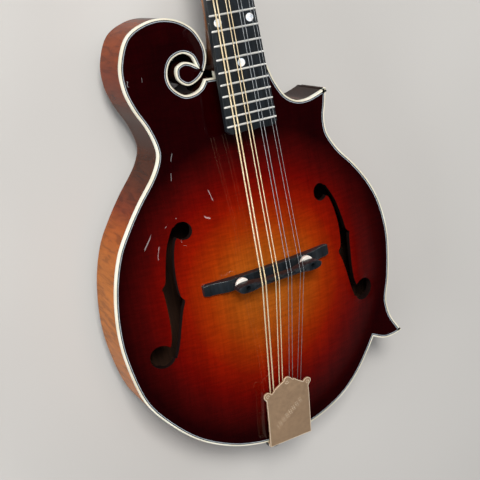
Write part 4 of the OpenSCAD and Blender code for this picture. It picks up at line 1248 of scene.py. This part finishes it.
def bridge_screws():
    screws = Shape()
    knurl, grips = 0.16, 30
    loop = []
    for k in range(grips * 4):
        a = 2 * math.pi * k / (grips * 4)
        r = WHEEL_R - knurl + knurl * math.cos(grips * a)
        loop.append((r * math.cos(a), r * math.sin(a)))
    wheel = Shape().add(prism(loop, WHEEL_LOW, WHEEL_LOW + WHEEL_T, 0.35))
    wheel.add(lathe([(2.9, WHEEL_LOW - 0.25), (2.9, WHEEL_LOW + 0.2)], 28))
    sides = (("bass", -1), ("treble", 1))
    for _, side in sides:
        screws.add(threaded(SCREW_R, 0.22, THREAD_PITCH, 14.8, 28, 6), 0,
                   shift(side * POST_X, 0, 14.6))
    piece("bridge_post_screws", screws, [NICKEL], "nickel", replaces=["bridge_posts"],
          place=BRIDGE)
    for name, side in sides:
        piece(f"knurled_wheel_{name}", wheel, [WHEEL], "nickel", body=f"thumbwheel_{name}",
              replaces=[f"thumbwheel_{name}"], place=BRIDGE @ shift(side * POST_X, 0))


COURSE_SHIFT = (0.9, 0.0, 0.9, -0.2)     # how far each course's crown stands to the headstock
COURSE_ENDS = [(a + b) / 2 - BRIDGE.translation.x for a, b in zip(SADDLE_X, SADDLE_X[1:])]


def crown_shift(x):
    """Compensation of the saddle's crown, stepped by course."""
    return COURSE_SHIFT[sum(x > end for end in COURSE_ENDS)]


def wing_width(x, wide):
    """Width of the saddle on one side of its middle: slim, wider at the posts, round nose."""
    spread = 2.1 + (wide - 2.1) * float(smooth_step(abs(x), 16, 24.5))
    past = max(0, abs(x) - POST_X) / (SADDLE_HALF - POST_X)
    return spread * math.sqrt(max(0.02, 1 - past ** 2.4))


def saddle_section(x, seat):
    """Section of the saddle: a crown in the middle, a flat wing over each post."""
    tail_side, head_side = wing_width(x, 3.4), wing_width(x, 2.8)
    wing = float(smooth_step(abs(x), 19.0, 25.0))
    nose = 1 - min(1, (SADDLE_HALF - abs(x)) / 1.5)
    high = SADDLE_TOP + (WING_TOP - SADDLE_TOP) * wing - 0.6 * nose
    low = seat + 3.4 * float(smooth_step(21 - abs(x), 0, 12))
    crown, ridge = crown_shift(x) * (1 - wing), 0.8
    low_crown = -tail_side * wing + (crown - ridge) * (1 - wing)
    high_crown = head_side * wing + (crown + ridge) * (1 - wing)
    shoulder = high - 1.5 * (1 - wing) - 0.45
    return [(x, y, z) for y, z in [
        (-tail_side, low + 0.4), (0.4 - tail_side, low), (head_side - 0.4, low),
        (head_side, low + 0.4), (head_side, shoulder - 0.3), (head_side - 0.12, shoulder),
        (high_crown - 0.06, high - 0.12), (high_crown - 0.35, high - 0.02),
        (low_crown + 0.35, high - 0.02), (low_crown + 0.06, high - 0.12),
        (0.12 - tail_side, shoulder), (-tail_side, shoulder - 0.3)]]


def saddle():
    seat = WHEEL_LOW + WHEEL_T + 0.08
    xs = sorted({round(SADDLE_HALF * k / 60, 3) for k in range(-60, 61)}
                | {end + d for end in COURSE_ENDS for d in (-0.3, 0.3)})
    shape = Shape().add(skin([saddle_section(x, seat)[::-1] for x in xs]))
    sharp = 28
    made = piece("ebony_saddle", shape, [EBONY], "ebony", body=None,
                 replaces=["bridge_saddle"], place=BRIDGE, sharp=sharp)
    for side in (-1, 1):
        drill = Shape().add(lathe([(SCREW_R + 0.12, seat - 2), (SCREW_R + 0.12, 45)], 36))
        cutter = piece("drill", drill, [EBONY], "ebony", body=None,
                       place=BRIDGE @ shift(side * POST_X, 0))
        cut = made.modifiers.new("bore", "BOOLEAN")
        cut.operation = "DIFFERENCE"
        cut.object = cutter
        cut.solver = "EXACT"
        bpy.context.view_layer.update()
        solid = bpy.data.meshes.new_from_object(
            made.evaluated_get(bpy.context.evaluated_depsgraph_get()))
        made.modifiers.clear()
        made.data = solid
        bpy.data.objects.remove(cutter)
    made.data.shade_smooth()
    made.data.set_sharp_from_angle(angle=math.radians(sharp))
    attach(made, "bridge_saddle")


bridge_base()
bridge_screws()
saddle()

# ---- tailpiece ------------------------------------------------------------------------------

COVER_H = 9.0
HOOK_Y, HOOK_Z = 25.8, 2.5
TAIL_BASE_HALF = 15.5
WALL_X, WALL_T = 14.7, 0.8          # the cover's walls stand on the base plate's margins
COVER_END = 2.2
LIP_HALF = 18.8
COVER_RUN = [
    (19, COVER_END), (19, 20), (18.9, 42), (18.7, 46.6), (20.2, 48.8), (21.1, 50.8), (20.3, 53),
    (18, 54.2), (15.6, 53.6), (14, 52.2), (11.5, 53.6), (8.7, 55.7), (6.3, 57.6), (4.9, 57.7),
    (3, 59.8), (0.8, 61.2), (-1.5, 61), (-3, 59.7), (-3.7, 58.3), (-7, 56.7), (-11.5, 53.8),
    (-13.4, 51.6), (-14.5, 50.8), (-16.2, 52.4), (-18.8, 53.1), (-20.7, 52.1), (-21.5, 49.8),
    (-21.2, 47.9), (-19.9, 45.9), (-19.4, 43.5), (-19, 20), (-19, COVER_END)]


def cover_ornament(high):
    """Plain engraving: slanting rows of lozenges, and a rosette of dots in each corner."""
    parts = []
    count = 15
    for row in (-1, 0, 1):
        for k in range(count):
            t = k / (count - 1) - 0.5
            size = (0.8 - 0.9 * t * t) * (0.7 if row else 1.0)
            x, y = 22 * t + 0.75 * row, 28 + 17 * t - 1.7 * row + (0.5 if k % 2 else -0.5)
            lozenge = [(x + dx * size, y + dy * size)
                       for dx, dy in ((-0.6, -0.35), (0, -0.75), (0.6, 0.35), (0, 0.75))]
            parts.append(prism(lozenge, high - 0.05, high + 0.1, 0.05))
    for middle in ((-18.2, 49.6), (17.8, 50.4), (-0.6, 56.2)):
        for centre in arc(middle, 1.2, 0, 300, 5):
            parts.append(skin([[(x, y, high + z) for x, y in arc(centre, r, 0, 324, 9)]
                               for r, z in ((0.36, -0.05), (0.32, 0.07), (0.15, 0.11))]))
    return joined(parts)


def cover():
    loop = inset([tuple(p) for p in open_curve(COVER_RUN, 4)] + [COVER_RUN[-1]], 0.05)
    low, high = COVER_H - SHEET_T, COVER_H - 0.12
    shape = Shape().add(prism(loop, low, high, 0.25, 0.15))
    # the band round the edge is the lighter bronze: a painted highlight along the cover's rounded
    # edge
    shape.add(band(loop, [(0.12, high - 0.3), (0.16, high + 0.02), (0.5, high + 0.04),
                          (0.62, high - 0.1)]), 1)
    # the walls and the lip share the lighter bronze, as painted highlight on their thin edges
    for x in (-WALL_X - WALL_T, WALL_X):
        shape.add(box_part((x, COVER_END + 0.1, SHEET_T + 0.3), (x + WALL_T, 44, low + 0.3),
                           0.1), 1)
    shape.add(box_part((-LIP_HALF, COVER_END, 5.4), (LIP_HALF, COVER_END + SHEET_T, low + 0.3),
                       0.15), 1)
    # the engraving is in the lighter bronze: painted glints
    shape.add(cover_ornament(high), 1)
    piece("engraved_cover", shape, [SATIN, BRONZE_PAINTED_HIGHLIGHT], "bronze_satin", body="tailpiece_cover",
          replaces=["tailpiece_cover"], place=TAIL)


def hook_plate():
    """The base plate with its hooks, its bend over the edge and its leg down the tail."""
    base = Shape()
    half = [(TAIL_BASE_HALF, 0.3), (TAIL_BASE_HALF, 44), (TAIL_BASE_HALF - 2, 46)]
    plate_loop = half + [(-x, y) for x, y in reversed(half)]
    base.add(prism(plate_loop, 0.02, SHEET_T, 0.2, 0.1), 0, TAIL)
    for x in (TAIL_X[course] + s * TAIL_PAIR for course in range(4) for s in (-1, 1)):
        hook = [(x, HOOK_Y + y, z) for y, z in ((3.0, 0.9), (1.2, 1.6), (0, 2.4), (-0.4, 3.4),
                                                (-0.7, 4.4), (-1.3, 5.0))]
        base.add(tube([tuple(p) for p in open_curve(hook, 3)], 0.58, 10), 0, TAIL)
    # the bend and the leg, in the instrument's own axes
    origin = TAIL.translation
    tilt = math.atan2(tail_axis.z, tail_axis.y)
    rings = []
    for k in range(9):
        a = (math.pi / 2 + tilt) * k / 8 - tilt
        inner, outer = (origin + r * Vector((0, -math.sin(a), math.cos(a)))
                        for r in (0.05, SHEET_T))
        rings.append([(origin.x + side * TAIL_BASE_HALF, p.y, p.z)
                      for side, p in ((-1, inner), (-1, outer), (1, outer), (1, inner))])
    base.add(skin(rings))
    half = [(5.2, -33), (6.5, -32.2), (TAIL_BASE_HALF, -12.4), (TAIL_BASE_HALF, 0.8)]
    leg = half + [(-x, y) for x, y in reversed(half)]
    base.add(prism(leg, 0, SHEET_T - 0.02, 0.2, 0.1), 0,
             shift(origin.x, origin.y - 0.02) @ turned(90, "X"))
    piece("hook_plate", base, [BRONZE], "bronze", replaces=["tailpiece_base"])


def tail_screws_and_button():
    tail = TAIL.translation
    screws = Shape()
    for x, z in ((-11, -7), (11, -7), (0, -29.5)):
        screws.add(screw_head(2.5, 1.1), 0,
                   shift(tail.x + x, tail.y - SHEET_T, z) @ turned(90, "X"))
    piece("tail_screw_heads", screws, [NICKEL], "nickel", replaces=["tailpiece_screws"])

    button = lathe([(3.2, -14), (3.2, 0), (5.2, 0), (5.2, 1.1), (4.8, 1.7), (3.8, 3.0),
                    (3.5, 5.2), (3.7, 7.4), (5.2, 9.0), (6.2, 9.9), (6.4, 11.0), (6.3, 12.2),
                    (5.6, 13.2), (4.2, 13.8), (2.2, 14.05), (0.05, 14.1)])
    piece("strap_button", Shape().add(button), [EBONY], "black_plate", replaces=["end_button"],
          place=shift(0, tail.y - SHEET_T, -19) @ turned(90, "X"))


cover()
hook_plate()
tail_screws_and_button()

# ---- strings --------------------------------------------------------------------------------


def string_points(course, s):
    """Ends and bends of one string: hook, saddle, nut and post."""
    r = STRING_R[course]
    hook = TAIL @ Vector((TAIL_X[course] + s * TAIL_PAIR, HOOK_Y + 1.2, HOOK_Z + 0.1))
    x = SADDLE_X[course] + s * SADDLE_PAIR - BRIDGE.translation.x
    crown = BRIDGE @ Vector((x, crown_shift(x), SADDLE_TOP + r + 0.03))
    notch = BOARD @ Vector((NUT_X[course] + s * NUT_PAIR, NUT_T, NUT_RISE + r + 0.02))
    i = STRING_TUNERS[(course, 0 if s < 0 else 1)]
    post = HEAD @ Vector((tuner_side(i) * (TUNER_X - POST_NECK - r), tuner_u(i), WINDING_TOP))
    return hook, crown, notch, post


def straight(start, end, count):
    return [start.lerp(end, k / count) for k in range(count + 1)]


def bending(name, path, radius, material, slot, nodes=()):
    """A stretch between a fixed end and the saddle, as one tube whose placing is baked into its
    points.
    """
    made = piece(name, Shape().add(tube(path, radius)), [material], slot, body=None,
                 replaces=nodes)
    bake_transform(made)


def string_loop(hook, crown, x, r):
    """The loop end: a small ring about the hook, with a twisted stretch before it."""
    across, up = Vector((1, 0, 0)), Vector((0, 0, 1))
    centre = TAIL @ Vector((x, HOOK_Y - 0.3, HOOK_Z))
    ring = [centre + 0.95 * (c * across + 1.5 * s * tail_axis)
            for c, s in arc((0, 0), 1, 0, 360, 24)]
    twist = [middle + c * across + s * up for middle, (c, s) in zip(
        straight(hook, hook.lerp(crown, 0.075), 48), arc((0, 0), r + 0.1, 0, 4 * 360, 48))]
    return Shape().add(tube(ring, 0.17, 8)).add(tube(twist, 0.13, 8))


def strings():
    for course, name in enumerate("gdae"):
        material, slot = (WOUND, "wound_string") if course < 2 else (PLAIN, "plain_string")
        r = STRING_R[course]
        for s in (-1, 1):
            hook, crown, notch, post = string_points(course, s)
            label = f"string_{name}{1 if s < 0 else 2}"
            bending(label + "_tail", straight(hook, crown, 24), r, material, slot,
                    [f"strings_{name}"])
            bending(label + "_scale", straight(crown, notch, 40), r, material, slot)
            piece(label + "_head", Shape().add(tube(straight(notch, post, 4), r)), [material],
                  slot)
            piece(label + "_loop", string_loop(hook, crown, TAIL_X[course] + s * TAIL_PAIR, r),
                  [PLAIN], slot)


strings()

# ---- CAD nodes that keep their shape --------------------------------------------------------

# linings and blocks take the inside wood with its painted shade
for node in ("top_lining", "back_lining", "head_block", "tail_block", "point_blocks"):
    finish_node(node, INNER_WOOD_PAINTED_SHADE)
finish_node("tone_bars", BAR_WOOD)
finish_node("truss_rod", STEEL)
finish_node("truss_nut", BRASS)

# ---- floor, light and camera ----------------------------------------------------------------


def stage():
    size = 6.0
    mesh = bpy.data.meshes.new("floor")
    mesh.from_pydata([(-size, -size, 0), (size, -size, 0), (size, size, 0), (-size, size, 0)],
                     [], [(0, 1, 2, 3)])
    floor = bpy.data.objects.new("floor", mesh)
    bpy.context.scene.collection.objects.link(floor)
    mesh.materials.append(grained("floor_paper", (3, 2), [(0.3, 184, 182, 179),
                                                          (0.7, 190, 188, 185)],
                                  Roughness=0.85))


def light(name, kind, energy, direction, place=(0, 0, 0), colour=(1, 1, 1)):
    data = bpy.data.lights.new(name, kind)
    data.energy = energy
    data.color = colour
    made = bpy.data.objects.new(name, data)
    bpy.context.scene.collection.objects.link(made)
    made.location = place
    made.rotation_euler = Vector(direction).to_track_quat("-Z", "Y").to_euler()
    return made


def area_light(name, place, target, size, power, colour=(1, 1, 1)):
    data = light(name, "AREA", power, Vector(target) - Vector(place), place, colour).data
    data.shape = "RECTANGLE"
    data.size, data.size_y = size


def sky_light(direction, strength, spread):
    """Even light over the whole floor, as from a large white ceiling."""
    made = light("sky", "SUN", strength, direction)
    made.data.angle = math.radians(spread)
    made.visible_glossy = False


# height of the direction looked in (0 level, 1 straight up) and linear colour of the world
WORLD_STOPS = ((0.0, (0.6, 0.6, 0.61, 1)), (0.15, (0.42, 0.43, 0.44, 1)),
               (0.35, (0.12, 0.122, 0.128, 1)), (0.6, (0.02, 0.021, 0.023, 1)),
               (1.0, (0.02, 0.021, 0.023, 1)))


def world():
    """Pale near the horizon, dim overhead, so that the gloss shows deep colour."""
    made = bpy.data.worlds.new("studio")
    bpy.context.scene.world = made
    made.use_nodes = True
    tree = made.node_tree
    background = tree.nodes["Background"]
    coords, split, ramp = (tree.nodes.new("ShaderNode" + kind)
                           for kind in ("TexCoord", "SeparateXYZ", "ValToRGB"))
    tree.links.new(coords.outputs["Generated"], split.inputs[0])
    tree.links.new(split.outputs["Z"], ramp.inputs["Fac"])
    tree.links.new(ramp.outputs["Color"], background.inputs["Color"])
    while len(ramp.color_ramp.elements) < len(WORLD_STOPS):
        ramp.color_ramp.elements.new(0.5)
    for element, (place, colour) in zip(ramp.color_ramp.elements, WORLD_STOPS):
        element.position = place
        element.color = colour
    background.inputs["Strength"].default_value = 0.9


LENS = 70.49
CAMERA_PLACE = Vector((-296.92, 234.41, 606.03))     # millimetres in the instrument's axes
CAMERA_FORWARD = Vector((0.40568, -0.30373, -0.86207))
CAMERA_DOWN = Vector((-0.26232, -0.94218, 0.20850))


def camera():
    """Looks down on the top from the bass side of the headstock's end."""
    data = bpy.data.cameras.new("camera")
    data.sensor_width = 36
    data.lens = LENS
    made = bpy.data.objects.new("camera", data)
    bpy.context.scene.collection.objects.link(made)
    forward = CAMERA_FORWARD.normalized()
    right = CAMERA_DOWN.normalized().cross(forward).normalized()
    turn = Matrix((right, right.cross(forward), -forward)).transposed()
    made.matrix_world = Matrix.Translation((ORIGIN + CAMERA_PLACE) * MM) @ turn.to_4x4()
    data.clip_start, data.clip_end = 0.01, 50
    bpy.context.scene.camera = made


stage()
area_light("key", (-0.6, 1.1, 1.9), (0, 0, 0.05), (0.6, 0.6), 50, (1, 0.98, 0.95))
area_light("fill", (-1.9, -0.3, 0.8), (0, 0, 0.03), (1.4, 0.9), 20, (0.97, 0.98, 1))
area_light("far", (1.9, 0.9, 1.1), (0, 0, 0.03), (1.2, 0.6), 14)
area_light("overhead", (-0.06, -0.33, 2.06), (-0.06, -0.13, 0.07), (0.03, 0.08), 0.06)
sky_light((0.3, -0.5, -1.0), 1.0, 60)
world()
camera()
bpy.context.scene.view_settings.view_transform = "Standard"
